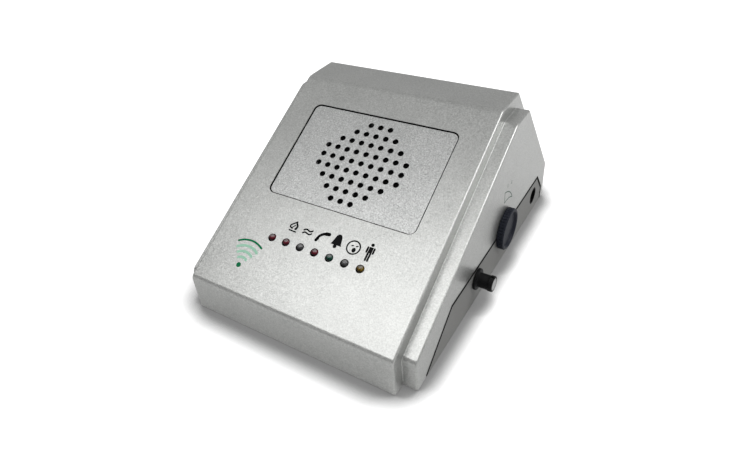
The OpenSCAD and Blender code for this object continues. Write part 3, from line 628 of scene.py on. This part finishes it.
@dataclass(frozen=True)
class Softener:
    """Smooth shading of CAD nodes up to a crease angle, by modifiers alone."""

    crease: float = math.radians(38)
    weld: float = 0.002 * MM

    def group(self) -> bpy.types.GeometryNodeTree:
        """Gives the node group that marks creases sharp, made once.

        Returns:
            The node group.
        """
        name = "smooth_up_to_crease"
        found = bpy.data.node_groups.get(name)
        if found:
            return found
        tree = bpy.data.node_groups.new(name, "GeometryNodeTree")
        for way in ("INPUT", "OUTPUT"):
            tree.interface.new_socket("Geometry", in_out=way, socket_type="NodeSocketGeometry")
        start, faces, edges, angle, sharp, end = (tree.nodes.new(kind) for kind in (
            "NodeGroupInput", "GeometryNodeSetShadeSmooth", "GeometryNodeSetShadeSmooth",
            "GeometryNodeInputMeshEdgeAngle", "FunctionNodeCompare", "NodeGroupOutput",
        ))
        faces.domain, edges.domain = "FACE", "EDGE"
        edges.inputs["Shade Smooth"].default_value = False
        sharp.operation = "GREATER_THAN"
        sharp.inputs["B"].default_value = self.crease
        for source, target in (
            (start.outputs[0], faces.inputs["Geometry"]),
            (faces.outputs["Geometry"], edges.inputs["Geometry"]),
            (angle.outputs["Unsigned Angle"], sharp.inputs["A"]),
            (sharp.outputs["Result"], edges.inputs["Selection"]),
            (edges.outputs["Geometry"], end.inputs[0]),
        ):
            tree.links.new(source, target)
        return tree

    def soften(self, piece: Piece) -> None:
        """Adds the modifiers to a CAD node's object.

        Args:
            piece: Object of the node.
        """
        weld = piece.modifiers.new("weld", "WELD")
        weld.merge_threshold = self.weld
        smooth = piece.modifiers.new("smooth", "NODES")
        smooth.node_group = self.group()
        normals = piece.modifiers.new("flat_faces_stay_flat", "WEIGHTED_NORMAL")
        normals.keep_sharp = True


def dress_nodes(finishes: dict[str, Finish], softened: Sequence[str] = ()) -> None:
    """Puts finishes on CAD nodes.

    Args:
        finishes: Finish of each node.
        softened: Nodes that get smooth shading.
    """
    for name, finish in finishes.items():
        finish.dress(node_object(name))
        LOG.info("node %s has %s", name, finish.name)
    for name in softened:
        Softener().soften(node_object(name))


def arc(centre: Point, radius: float, start: float, end: float, steps: int = 24) -> Outline:
    """Gives points along an arc between two angles in degrees."""
    angles = [math.radians(start + (end - start) * i / steps) for i in range(steps + 1)]
    return [(centre[0] + radius * math.cos(a), centre[1] + radius * math.sin(a)) for a in angles]


def bezier(a: Point, b: Point, c: Point, d: Point, steps: int = 14) -> Outline:
    """Gives points along a cubic curve.

    Args:
        a: Start.
        b: First handle.
        c: Second handle.
        d: End.
        steps: Number of steps.

    Returns:
        The points.
    """
    points = []
    for i in range(steps + 1):
        t = i / steps
        m = 1 - t
        weights = (m ** 3, 3 * m * m * t, 3 * m * t * t, t ** 3)
        points.append(tuple(sum(w * p[k] for w, p in zip(weights, (a, b, c, d))) for k in (0, 1)))
    return points


def heading(a: Point, b: Point) -> float:
    """Gives the direction from one point to another, in degrees."""
    return math.degrees(math.atan2(b[1] - a[1], b[0] - a[0]))


@dataclass
class Drawing:
    """Flat ink drawing in millimetres, made of filled outlines and strokes."""

    thickness: float = 0.04
    sunk: float = 0.01
    end_steps: int = 8
    mesh: Mesh = field(default_factory=bmesh.new)

    def fill(self, outline: Outline) -> None:
        """Adds a filled outline as a thin solid.

        Args:
            outline: Its corners, in order.
        """
        floor = [self.mesh.verts.new((x, y, -self.sunk)) for x, y in outline]
        face = self.mesh.faces.new(floor)
        made = bmesh.ops.extrude_face_region(self.mesh, geom=[face])["geom"]
        raised = [item for item in made if isinstance(item, bmesh.types.BMVert)]
        bmesh.ops.translate(self.mesh, verts=raised, vec=(0, 0, self.thickness))

    def stroke(self, points: Outline, width: float, end_width: float | None = None) -> None:
        """Adds a line with round ends.

        Args:
            points: Points along the line.
            width: Width at its start.
            end_width: Width at its end, if it changes.
        """
        last = len(points) - 1
        end_width = width if end_width is None else end_width
        left, right = [], []
        for i, (x, y) in enumerate(points):
            before, after = points[max(0, i - 1)], points[min(last, i + 1)]
            run = Vector((after[0] - before[0], after[1] - before[1])).normalized()
            half = (width + (end_width - width) * i / last) / 2
            left.append((x - run.y * half, y + run.x * half))
            right.append((x + run.y * half, y - run.x * half))
        first, final = heading(*points[:2]), heading(*points[-2:])
        tip = arc(points[-1], end_width / 2, final + 90, final - 90, self.end_steps)
        tail = arc(points[0], width / 2, first - 90, first - 270, self.end_steps)
        self.fill(left[:-1] + tip + right[-2:0:-1] + tail[:-1])

    def dot(self, centre: Point, radius: float, steps: int = 20) -> None:
        """Adds a filled circle."""
        self.fill(arc(centre, radius, 0, 360, steps)[:-1])

    def ring(self, centre: Point, radius: float, width: float, steps: int = 48) -> None:
        """Adds a closed circular line.

        Args:
            centre: Its centre.
            radius: Radius of the line's middle.
            width: Width of the line.
            steps: Number of steps.
        """
        for low, high in ((0, 180), (180, 360)):
            outer = arc(centre, radius + width / 2, low, high, steps // 2)
            inner = arc(centre, radius - width / 2, high, low, steps // 2)
            self.fill(outer + inner)

    def piece(self, name: str, place: Matrix, finish: Finish) -> Piece:
        """Makes the drawing a piece, with Z of its place out of the printed face."""
        return new_piece(name, self.mesh, place, finish)


def loft(rings: Sequence[Sequence[Sequence[float]]], closed: bool = False) -> Mesh:
    """Joins rings of points into a tube.

    Args:
        rings: Rings along the tube, each with the same number of points (x, y, z).
        closed: Whether the last ring joins the first, instead of both being capped.

    Returns:
        The closed mesh, in the rings' units.
    """
    mesh = bmesh.new()
    loops = [[mesh.verts.new(point) for point in ring] for ring in rings]
    for low, high in zip(loops, loops[1:] + (loops[:1] if closed else [])):
        for i in range(len(low)):
            mesh.faces.new([low[i - 1], low[i], high[i], high[i - 1]])
    if not closed:
        mesh.faces.new(loops[0])
        mesh.faces.new(loops[-1])
    return mesh


def offset(points: Sequence[Point], distance: float) -> Outline:
    """Moves an open line to its left.

    Args:
        points: Points along the line.
        distance: Distance by which it moves.

    Returns:
        The moved points, with mitred bends.
    """
    runs = [Vector((b[0] - a[0], b[1] - a[1])).normalized() for a, b in zip(points, points[1:])]
    moved = []
    for i, (x, y) in enumerate(points):
        before, after = runs[max(0, i - 1)], runs[min(len(runs) - 1, i)]
        mitre = Vector((-before.y - after.y, before.x + after.x)).normalized()
        reach = distance / mitre.dot(Vector((-after.y, after.x)))
        moved.append((x + mitre.x * reach, y + mitre.y * reach))
    return moved


def lathe(profile: Outline, steps: int = 48) -> Mesh:
    """Turns a profile about the Z axis.

    Args:
        profile: Points (radius, height), from axis to axis, or back to the first point.
        steps: Number of steps round the axis.

    Returns:
        The closed mesh, in the profile's units.
    """
    mesh = bmesh.new()
    rings = []
    for radius, height in profile:
        if radius < ON_AXIS:
            rings.append([mesh.verts.new((0, 0, height))])
            continue
        turns = [2 * math.pi * i / steps for i in range(steps)]
        rings.append([
            mesh.verts.new((radius * math.cos(a), radius * math.sin(a), height)) for a in turns
        ])
    for low, high in zip(rings, rings[1:]):
        for i in range(steps):
            corners = [
                low[i % len(low)], low[(i + 1) % len(low)],
                high[(i + 1) % len(high)], high[i % len(high)],
            ]
            mesh.faces.new(list(dict.fromkeys(corners)))
    return mesh


@dataclass(frozen=True)
class CaseShape:
    """Planes of the case that carry prints and LEDs, in millimetres."""

    depth: float = 228.0
    bottom: float = 1.0
    front_height: float = 26.5
    crest_from_front: float = 140.0
    crest_height: float = 103.0
    side: float = 78.7

    @property
    def slope(self) -> float:
        """Angle of the slope above the table, in radians."""
        return math.atan2(self.crest_height - self.front_height, self.crest_from_front)

    def on_slope(self, x: float, s: float, height: float = 0.0) -> Matrix:
        """Gives a place on the slope: X across, Y up the slope, Z out of it.

        Args:
            x: Distance across from the middle.
            s: Distance up the slope from the front edge.
            height: Distance out of the slope.

        Returns:
            The place, in metres.
        """
        edge = Vector((0, -self.depth / 2, self.bottom + self.front_height)) * MM
        turn = Matrix.Rotation(self.slope, 4, "X")
        return Matrix.Translation(edge) @ turn @ Matrix.Translation(Vector((x, s, height)) * MM)

    def on_right_side(self, y: float, z: float) -> Matrix:
        """Gives a place on the right side: X to the rear, Y up, Z out of the side.

        Args:
            y: Distance behind the front wall.
            z: Height above the case's bottom.

        Returns:
            The place, in metres.
        """
        corner = Vector((self.side, y - self.depth / 2, self.bottom + z)) * MM
        turn = Matrix(((0, 0, 1, 0), (1, 0, 0, 0), (0, 1, 0, 0), (0, 0, 0, 1)))
        return Matrix.Translation(corner) @ turn


@dataclass
class CaseShells:
    """Cover, base, feet and case screws."""

    def build(self) -> None:
        """Dresses the shells."""
        finishes = {
            "top_cover": SILVER, "base_tray": BASE_GREY,
            "rubber_feet": FOOT_RUBBER, "case_screws": STEEL,
        }
        dress_nodes(finishes, softened=("top_cover", "base_tray"))


@dataclass
class SpeakerUnit:
    """Perforated panel and the speaker behind it."""

    def build(self) -> None:
        """Dresses the panel and the speaker's parts."""
        dress_nodes({
            "speaker_panel": PANEL_SILVER, "speaker_cloth": CLOTH, "speaker_gasket": FOAM,
            "speaker_basket": STEEL, "speaker_cone": CONE_PAPER, "speaker_magnet": FERRITE,
            "speaker_clips": STEEL, "speaker_screws": STEEL,
        })


@dataclass
class GapShadeSeals:
    """Black seals in each side's seam, with a lip on the right, and round the panel; their black
    stands in for the shade in these gaps.

    Sizes are in millimetres.
    """

    case: CaseShape
    front: tuple[Point, ...] = ((19.5, 0.4), (51.0, 24.4))
    rear: tuple[Point, ...] = ((200.21, 24.4), (212.4, 9.67), (212.4, 0.4))
    shaft_gap: Point = (127.3, 135.7)
    seam: Point = (0.04, 1.36)
    lip: Point = (-0.25, 1.65)
    stem: float = 2.3
    sunk: float = 0.05
    proud: float = 0.1
    lip_clearance: float = 0.01
    panel: Triple = (102.0, 70.0, 4.0)
    panel_middle: float = 102.5
    lining: tuple[Point, ...] = (
        (0.04, -2.35), (0.77, -2.35), (0.77, -0.35), (0.48, -0.35), (0.48, -1.6), (0.04, -1.6),
    )
    corner_steps: int = 8

    def build(self) -> None:
        """Builds the strips of both sides and the ring round the panel."""
        level = self.front[-1][1]
        stops = [(y, level) for y in self.shaft_gap]
        runs = {
            "seam_shade_seal_right_front": (1, self.front + (stops[0],)),
            "seam_shade_seal_right_rear": (1, (stops[1],) + self.rear),
            "seam_shade_seal_left": (-1, self.front + self.rear),
        }
        for name, (side, run) in runs.items():
            strip = self.strip(side, run)
            seat(new_piece(name, strip, Matrix.Identity(4), SEAL_BLACK_AS_GAP_SHADE))
        place = self.case.on_slope(0, self.panel_middle)
        seat(new_piece("panel_shade_seal", self.ring(), place, SEAL_BLACK_AS_GAP_SHADE))

    def strip(self, side: int, run: Sequence[Point]) -> Mesh:
        """Fills the seam along a run, with black that stands in for the seam's shade.

        Args:
            side: 1 for the right side, -1 for the left.
            run: Points behind the front wall and above the case's bottom.

        Returns:
            The strip's mesh.
        """
        low, high = self.seam
        lip_low, lip_high = self.lip
        outs = (-self.stem, self.lip_clearance, -self.sunk, self.proud)
        inner, face, sunk, outer = (self.case.side + out for out in outs)
        lipped = [
            (inner, low), (face, low), (face, lip_low), (outer, lip_low),
            (outer, lip_high), (face, lip_high), (face, high), (inner, high),
        ]
        plain = [(inner, low), (sunk, low), (sunk, high), (inner, high)]
        section = lipped if side > 0 else plain
        lines = [(side * x, offset(run, distance)) for x, distance in section]
        back, lift = -self.case.depth / 2, self.case.bottom
        return loft([
            [(x, line[i][0] + back, line[i][1] + lift) for x, line in lines]
            for i in range(len(run))
        ])

    def ring(self) -> Mesh:
        """Lines the panel's recess, and fills the bottom of the gap round the panel, in black that
        stands in for the shade there.

        Returns:
            The ring's mesh.
        """
        width, height, radius = self.panel
        rings = []
        for quarter, (x, y) in enumerate(((1, 1), (-1, 1), (-1, -1), (1, -1))):
            across, along = x * (width / 2 - radius), y * (height / 2 - radius)
            start = 90 * quarter
            for c, s in arc((0, 0), 1.0, start, start + 90, self.corner_steps):
                rings.append([
                    (across + (radius + out) * c, along + (radius + out) * s, level)
                    for out, level in self.lining
                ])
        return loft(rings, closed=True)


class Lamp(Enum):
    """LED colours: CAD node, material slot, tint, and places in the row."""

    RED = ("red_leds", "red_lens", linear(188, 46, 70), (0, 1, 3))
    CLEAR = ("clear_leds", "clear_lens", linear(150, 150, 150), (2, 5))
    GREEN = ("green_led", "green_lens", linear(30, 124, 98), (4,))
    YELLOW = ("yellow_led", "yellow_lens", linear(204, 160, 26), (6,))

    def __init__(self, node: str, slot: str, tint: Colour, places: tuple[int, ...]) -> None:
        """Names the parts of a choice.

        Args:
            node: CAD node of the LEDs.
            slot: Material slot of the record.
            tint: Colour of the epoxy.
            places: Places in the row, from the left.
        """
        self.node = node
        self.slot = slot
        self.tint = tint
        self.places = places


@dataclass
class IndicatorRow:
    """Row of round LEDs with their reflector cups, sleeves and board, in millimetres."""

    case: CaseShape
    row: float = 38.7
    pitch: float = 10.3
    count: int = 7
    diameter: float = 5.0
    height: float = 8.6
    proud: float = 1.2
    flange: float = 5.8
    flange_height: float = 1.0
    cup_radius: float = 1.25
    cup_height: float = 1.3
    cup_level: float = 4.6
    cup_wall: float = 0.15
    cup_floor: float = 0.3
    cup_taper: float = 0.6
    post: float = 0.5
    post_foot: float = 0.2
    dome_steps: int = 12
    sleeve: Point = (2.52, 2.64)
    sleeve_level: Point = (5.0, 7.3)

    def build(self) -> None:
        """Builds the lenses, cups and sleeves, and dresses the board."""
        for lamp in Lamp:
            lens = TintedLens(f"{lamp.slot}_epoxy", lamp.tint)
            for part, profile, finish, slot, stands_for in (
                ("lens", self.lens_profile(), lens, lamp.slot, (lamp.node,)),
                ("cups", self.cup_profile(), STEEL, "steel", ()),
                # Dark sleeves that stand in for the shade in the gap round each LED.
                ("sleeves", self.sleeve_profile(), SEAL_BLACK_AS_GAP_SHADE, "rubber", ()),
            ):
                piece = self.repeated(f"{lamp.node}_{part}", profile, lamp, finish)
                seat(piece, stands_for)
        dress_nodes({"led_board": BOARD_GREEN, "led_board_screws": STEEL, "led_leads": STEEL})

    def lens_profile(self) -> Outline:
        """Gives the outline of one LED's epoxy body, from its board up.

        Returns:
            The outline.
        """
        radius, flange = self.diameter / 2, self.flange / 2
        dome = arc((0, self.height - radius), radius, 0, 90, self.dome_steps)
        base = [(0, 0), (flange, 0), (flange, self.flange_height), (radius, self.flange_height)]
        return base + dome[:-1] + [(0, self.height)]

    def cup_profile(self) -> Outline:
        """Gives the outline of the reflector cup on its post, inside the epoxy.

        Returns:
            The outline.
        """
        radius, level = self.cup_radius, self.cup_level
        rim, floor = level + self.cup_height, level + self.cup_floor
        return [
            (0, self.post_foot), (self.post, self.post_foot), (self.post, level - self.cup_taper),
            (radius, level), (radius, rim), (radius - self.cup_wall, rim),
            (radius / 2, floor), (0, floor),
        ]

    def sleeve_profile(self) -> Outline:
        """Gives the outline of the dark sleeve between an LED and the wall of its hole, which
        stands in for the shade in that gap.

        Returns:
            The outline.
        """
        inner, outer = self.sleeve
        low, high = self.sleeve_level
        return [(inner, low), (outer, low), (outer, high), (inner, high), (inner, low)]

    def repeated(self, name: str, profile: Outline, lamp: Lamp, finish: Finish) -> Piece:
        """Turns a profile at each place of a colour.

        Args:
            name: Name of the piece.
            profile: Profile from the board up.
            lamp: The colour, with its places.
            finish: Finish of the piece.

        Returns:
            The piece.
        """
        joined = bmesh.new()
        for place in lamp.places:
            turned = lathe(profile)
            across = (place - (self.count - 1) / 2) * self.pitch
            turned.transform(Matrix.Translation((across, 0, 0)))
            scratch = bpy.data.meshes.new("turned")
            turned.to_mesh(scratch)
            turned.free()
            joined.from_mesh(scratch)
            bpy.data.meshes.remove(scratch)
        base = self.case.on_slope(0, self.row, self.proud - self.height)
        return new_piece(name, joined, base, finish, smooth=True)


class Sign(Enum):
    """Signs above the LEDs, with their distance across from the middle in millimetres."""

    FLAME = -20.7
    WAVES = -10.4
    HANDSET = 0.4
    BELL = 10.4
    FACE = 21.4
    PERSON = 31.8


@dataclass
class PrintedSigns:
    """Printed signs on the slope and beside the dial, in millimetres."""

    case: CaseShape
    row: float = 49.3
    mark_place: Point = (-42.8, 23.7)
    mark_foot: Point = (0, -8.2)
    mark_dot: float = 1.6
    mark_radius: float = 16.8
    mark_turn: Point = (58, 122)
    mark_line: float = 1.3
    wave_radii: Triple = (5.2, 9.0, 12.9)
    wave_turn: Point = (54, 126)
    wave_line: float = 1.7
    volume_place: Point = (131.5, 26.0)
    wedge_turn: Point = (55.0, 97.0)
    wedge_radius: Point = (20.5, 28.5)
    wedge_line: float = 0.65
    tick_turns: Point = (75.0, 88.0)
    tick_reach: Point = (1.4, 3.4)

    def build(self) -> None:
        """Draws every sign."""
        draws = (self.flame, self.waves, self.handset, self.bell, self.face, self.person)
        for sign, draw in zip(Sign, draws):
            drawing = Drawing()
            draw(drawing)
            place = self.case.on_slope(sign.value, self.row)
            piece = drawing.piece(f"sign_{sign.name.lower()}", place, INK_BLACK)
            seat(piece)
        self.signal_mark()
        self.volume_mark()

    def flame(self, ink: Drawing) -> None:
        """Draws a flame over a line.

        Args:
            ink: The sign's drawing.
        """
        ink.stroke(bezier((-1.1, -0.9), (-4.6, 0.3), (-0.9, 2.0), (0.7, 3.8)), 1.0)
        ink.stroke(bezier((0.7, 3.8), (0.7, 2.4), (3.4, 1.2), (1.7, -0.8)), 1.0, 1.5)
        ink.stroke(bezier((-0.5, -0.9), (-1.2, 0.2), (0.3, 0.6), (0.5, 1.5)), 0.7)
        ink.stroke([(-2.0, -2.4), (2.7, -2.6)], 0.9)

    def waves(self, ink: Drawing) -> None:
        """Draws two waves."""
        for y in (-1.0, 1.0):
            wave = bezier((-2.9, y - 0.5), (-1.0, y + 1.9), (1.0, y - 1.9), (2.9, y + 0.5))
            ink.stroke(wave, 1.0)

    def handset(self, ink: Drawing) -> None:
        """Draws a lifted telephone handset.

        Args:
            ink: The sign's drawing.
        """
        ink.stroke(bezier((-3.3, -2.9), (-2.7, 0.6), (-0.6, 2.6), (3.2, 2.7)), 1.75)
        ink.stroke([(-3.3, -3.0), (-2.8, -1.7)], 2.0)
        ink.stroke([(1.2, 2.4), (3.2, 2.7)], 2.3)

    def bell(self, ink: Drawing) -> None:
        """Draws a bell with its clapper.

        Args:
            ink: The sign's drawing.
        """
        left = bezier((-3.8, -2.1), (-2.1, -1.0), (-3.0, 4.8), (0.0, 5.0))
        right = [(-x, y) for x, y in reversed(left)]
        ink.fill(left + right[1:])
        ink.dot((-0.3, -3.0), 1.2)

    def face(self, ink: Drawing) -> None:
        """Draws a round face with an open mouth.

        Args:
            ink: The sign's drawing.
        """
        ink.ring((0, 0), 4.1, 0.9)
        for x, y in ((-1.0, 0.9), (1.9, 1.2)):
            ink.stroke([(x - 0.4, y - 0.15), (x + 0.4, y + 0.25)], 0.75)
        circle = arc((0, 0), 1.0, 0, 360)[:-1]
        ink.fill([(0.8 + 1.25 * x, -1.5 + 1.5 * y) for x, y in circle])

    def person(self, ink: Drawing) -> None:
        """Draws a standing person.

        Args:
            ink: The sign's drawing.
        """
        ink.dot((0, 5.0), 1.05)
        ink.fill([(-1.25, -0.2), (1.25, -0.2), (1.25, 3.6), (-1.25, 3.6)])
        for side in (-1, 1):
            ink.stroke([(side * 2.05, 3.0), (side * 2.05, 0.1)], 1.15)
            ink.stroke([(side * 0.75, -0.4), (side * 0.75, -4.8)], 1.2)

    def signal_mark(self) -> None:
        """Draws a plain mark of signal arcs over a dot, in two greens."""
        place = self.case.on_slope(*self.mark_place)
        dark, pale = Drawing(), Drawing()
        dark.dot(self.mark_foot, self.mark_dot, steps=24)
        dark.stroke(arc(self.mark_foot, self.mark_radius, *self.mark_turn), self.mark_line)
        for radius in self.wave_radii:
            pale.stroke(arc(self.mark_foot, radius, *self.wave_turn), self.wave_line)
        seat(dark.piece("signal_mark_dark", place, INK_GREEN))
        seat(pale.piece("signal_mark_pale", place, INK_PALE_GREEN))

    def volume_mark(self) -> None:
        """Draws a volume sign round the dial: a wedge bent along an arc, and two ticks."""
        low, high = self.wedge_radius
        inner = arc((0, 0), low, *self.wedge_turn)
        reach = (high - low) / (len(inner) - 1)
        growth = [1 + reach * i / low for i in range(len(inner))]
        outer = [(x * factor, y * factor) for factor, (x, y) in zip(growth, inner)]
        wedge = Drawing()
        for line in (inner, outer, [inner[-1], outer[-1]]):
            wedge.stroke(line, self.wedge_line)
        for turn in self.tick_turns:
            ends = [arc((0, 0), high + rise, turn, turn, 1)[0] for rise in self.tick_reach]
            wedge.stroke(ends, self.wedge_line)
        place = self.case.on_right_side(*self.volume_place)
        seat(wedge.piece("volume_sign", place, INK_GREY))


@dataclass
class ControlSet:
    """Volume dial, control knob, and what carries them."""

    def build(self) -> None:
        """Dresses the controls."""
        dress_nodes({
            "volume_dial": DIAL_BLACK, "control_knob": KNOB_BLACK, "knob_cap": CAP_GREY,
            "volume_shaft": STEEL, "control_shaft": STEEL, "volume_pot": STEEL,
            "control_pot": STEEL, "pot_nuts": BRASS, "control_bracket": STEEL,
            "bracket_screws": STEEL,
        })


@dataclass
class Electronics:
    """Main board and what is on it, the wiring, and the power inlet."""

    def build(self) -> None:
        """Dresses the electronics."""
        dress_nodes({
            "main_board": BOARD_GREEN, "board_parts": CHIP_BLACK, "radio_module": STEEL,
            "aerial": COPPER, "board_screws": STEEL, "wiring": WIRE_RED,
            "power_inlet": SOCKET_BLACK, "inlet_pin": STEEL,
        })


@dataclass(frozen=True)
class Softbox:
    """Rectangular light: place, aim and size in metres, and radiance, where 1 is white."""

    name: str
    place: Triple
    aim: Triple
    size: Point
    radiance: float

    def hang(self) -> None:
        """Hangs the light."""
        data = bpy.data.lights.new(self.name, "AREA")
        data.shape = "RECTANGLE"
        data.size, data.size_y = self.size
        data.energy = self.radiance * math.pi * self.size[0] * self.size[1]
        light = bpy.data.objects.new(self.name, data)
        light.location = self.place
        ahead = Vector(self.aim) - Vector(self.place)
        light.rotation_euler = ahead.to_track_quat("-Z", "Y").to_euler()
        bpy.context.scene.collection.objects.link(light)


@dataclass
class Studio:
    """Floor, world, softboxes and the photograph's camera, whose place is in millimetres."""

    image: tuple[int, int] = (750, 450)
    focal_px: float = 617.9
    centre_px: Point = (311.4, 179.9)
    sensor: float = 36.0
    clip: float = 0.01
    place: Triple = (174.43, -303.80, 271.14)
    azimuth: float = 37.39
    elevation: float = 31.74
    roll: float = 5.85
    floor_size: float = 12.0
    floor_squares: int = 8
    sky: tuple[Point, ...] = ((0.0, 1.0), (0.08, 1.0), (0.14, 0.27), (0.5, 0.61), (0.8, 0.5))
    softboxes: tuple[Softbox, ...] = (
        Softbox("key_softbox", (-0.296, -0.46, 1.334), (-0.356, -0.05, 0.03), (1.393, 0.53), 2.6),
        Softbox("edge_softbox", (0.72, 0.26, 0.98), (0.05, 0.05, 0.05), (0.8, 0.7), 3.9),
    )

    def build(self) -> None:
        """Builds the studio."""
        self.camera()
        self.floor()
        self.world()
        for softbox in self.softboxes:
            softbox.hang()
        bpy.context.scene.view_settings.view_transform = "Standard"

    def camera(self) -> None:
        """Sets the camera where the photograph was taken."""
        data = bpy.data.cameras.new("photo_camera")
        data.sensor_width = self.sensor
        data.lens = self.focal_px * self.sensor / self.image[0]
        data.shift_x = (self.image[0] / 2 - self.centre_px[0]) / self.image[0]
        data.shift_y = (self.centre_px[1] - self.image[1] / 2) / self.image[0]
        data.clip_start = self.clip
        turns = (self.azimuth, self.elevation, self.roll)
        azimuth, elevation, roll = (math.radians(turn) for turn in turns)
        ahead = Vector((
            -math.sin(azimuth) * math.cos(elevation),
            math.cos(azimuth) * math.cos(elevation),
            -math.sin(elevation),
        ))
        level = ahead.cross(Vector((0, 0, 1))).normalized()
        right = level * math.cos(roll) + ahead.cross(level) * math.sin(roll)
        up = right.cross(ahead)
        camera = bpy.data.objects.new("photo_camera", data)
        turn = Matrix((right, up, -ahead)).transposed().to_4x4()
        camera.matrix_world = Matrix.Translation(Vector(self.place) * MM) @ turn
        bpy.context.scene.collection.objects.link(camera)
        bpy.context.scene.camera = camera

    def floor(self) -> None:
        """Lays the pale floor."""
        mesh = bmesh.new()
        squares = self.floor_squares
        half = self.floor_size / 2 / MM
        bmesh.ops.create_grid(mesh, x_segments=squares, y_segments=squares, size=half)
        floor = new_piece("studio_floor", mesh, Matrix.Identity(4), FLOOR_WHITE)

    def world(self) -> None:
        """Lights the room softly, with a low white backdrop all round under a darker wall."""
        world = bpy.data.worlds.new("studio_world")
        bpy.context.scene.world = world
        world.use_nodes = True
        tree = world.node_tree
        towards = tree.nodes.new("ShaderNodeTexCoord").outputs["Generated"]
        parts = tree.nodes.new("ShaderNodeSeparateXYZ")
        rise = tree.nodes.new("ShaderNodeValToRGB")
        stops = rise.color_ramp.elements
        while len(stops) < len(self.sky):
            stops.new(1.0)
        for stop, (height, level) in zip(stops, self.sky):
            stop.position = height
            stop.color = (level, level, level, 1)
        tree.links.new(towards, parts.inputs["Vector"])
        tree.links.new(parts.outputs["Z"], rise.inputs["Fac"])
        tree.links.new(rise.outputs["Color"], tree.nodes["Background"].inputs["Color"])


def main() -> None:
    """Builds the sub-assemblies in order and reports each piece."""
    logging.basicConfig(level=logging.INFO, format="%(message)s")
    case = CaseShape()
    parts = [
        Studio(), CaseShells(), SpeakerUnit(), GapShadeSeals(case), IndicatorRow(case),
        PrintedSigns(case), ControlSet(), Electronics(),
    ]
    for part in parts:
        LOG.info("building %s", type(part).__name__)
        part.build()


if __name__ == "__main__":
    main()
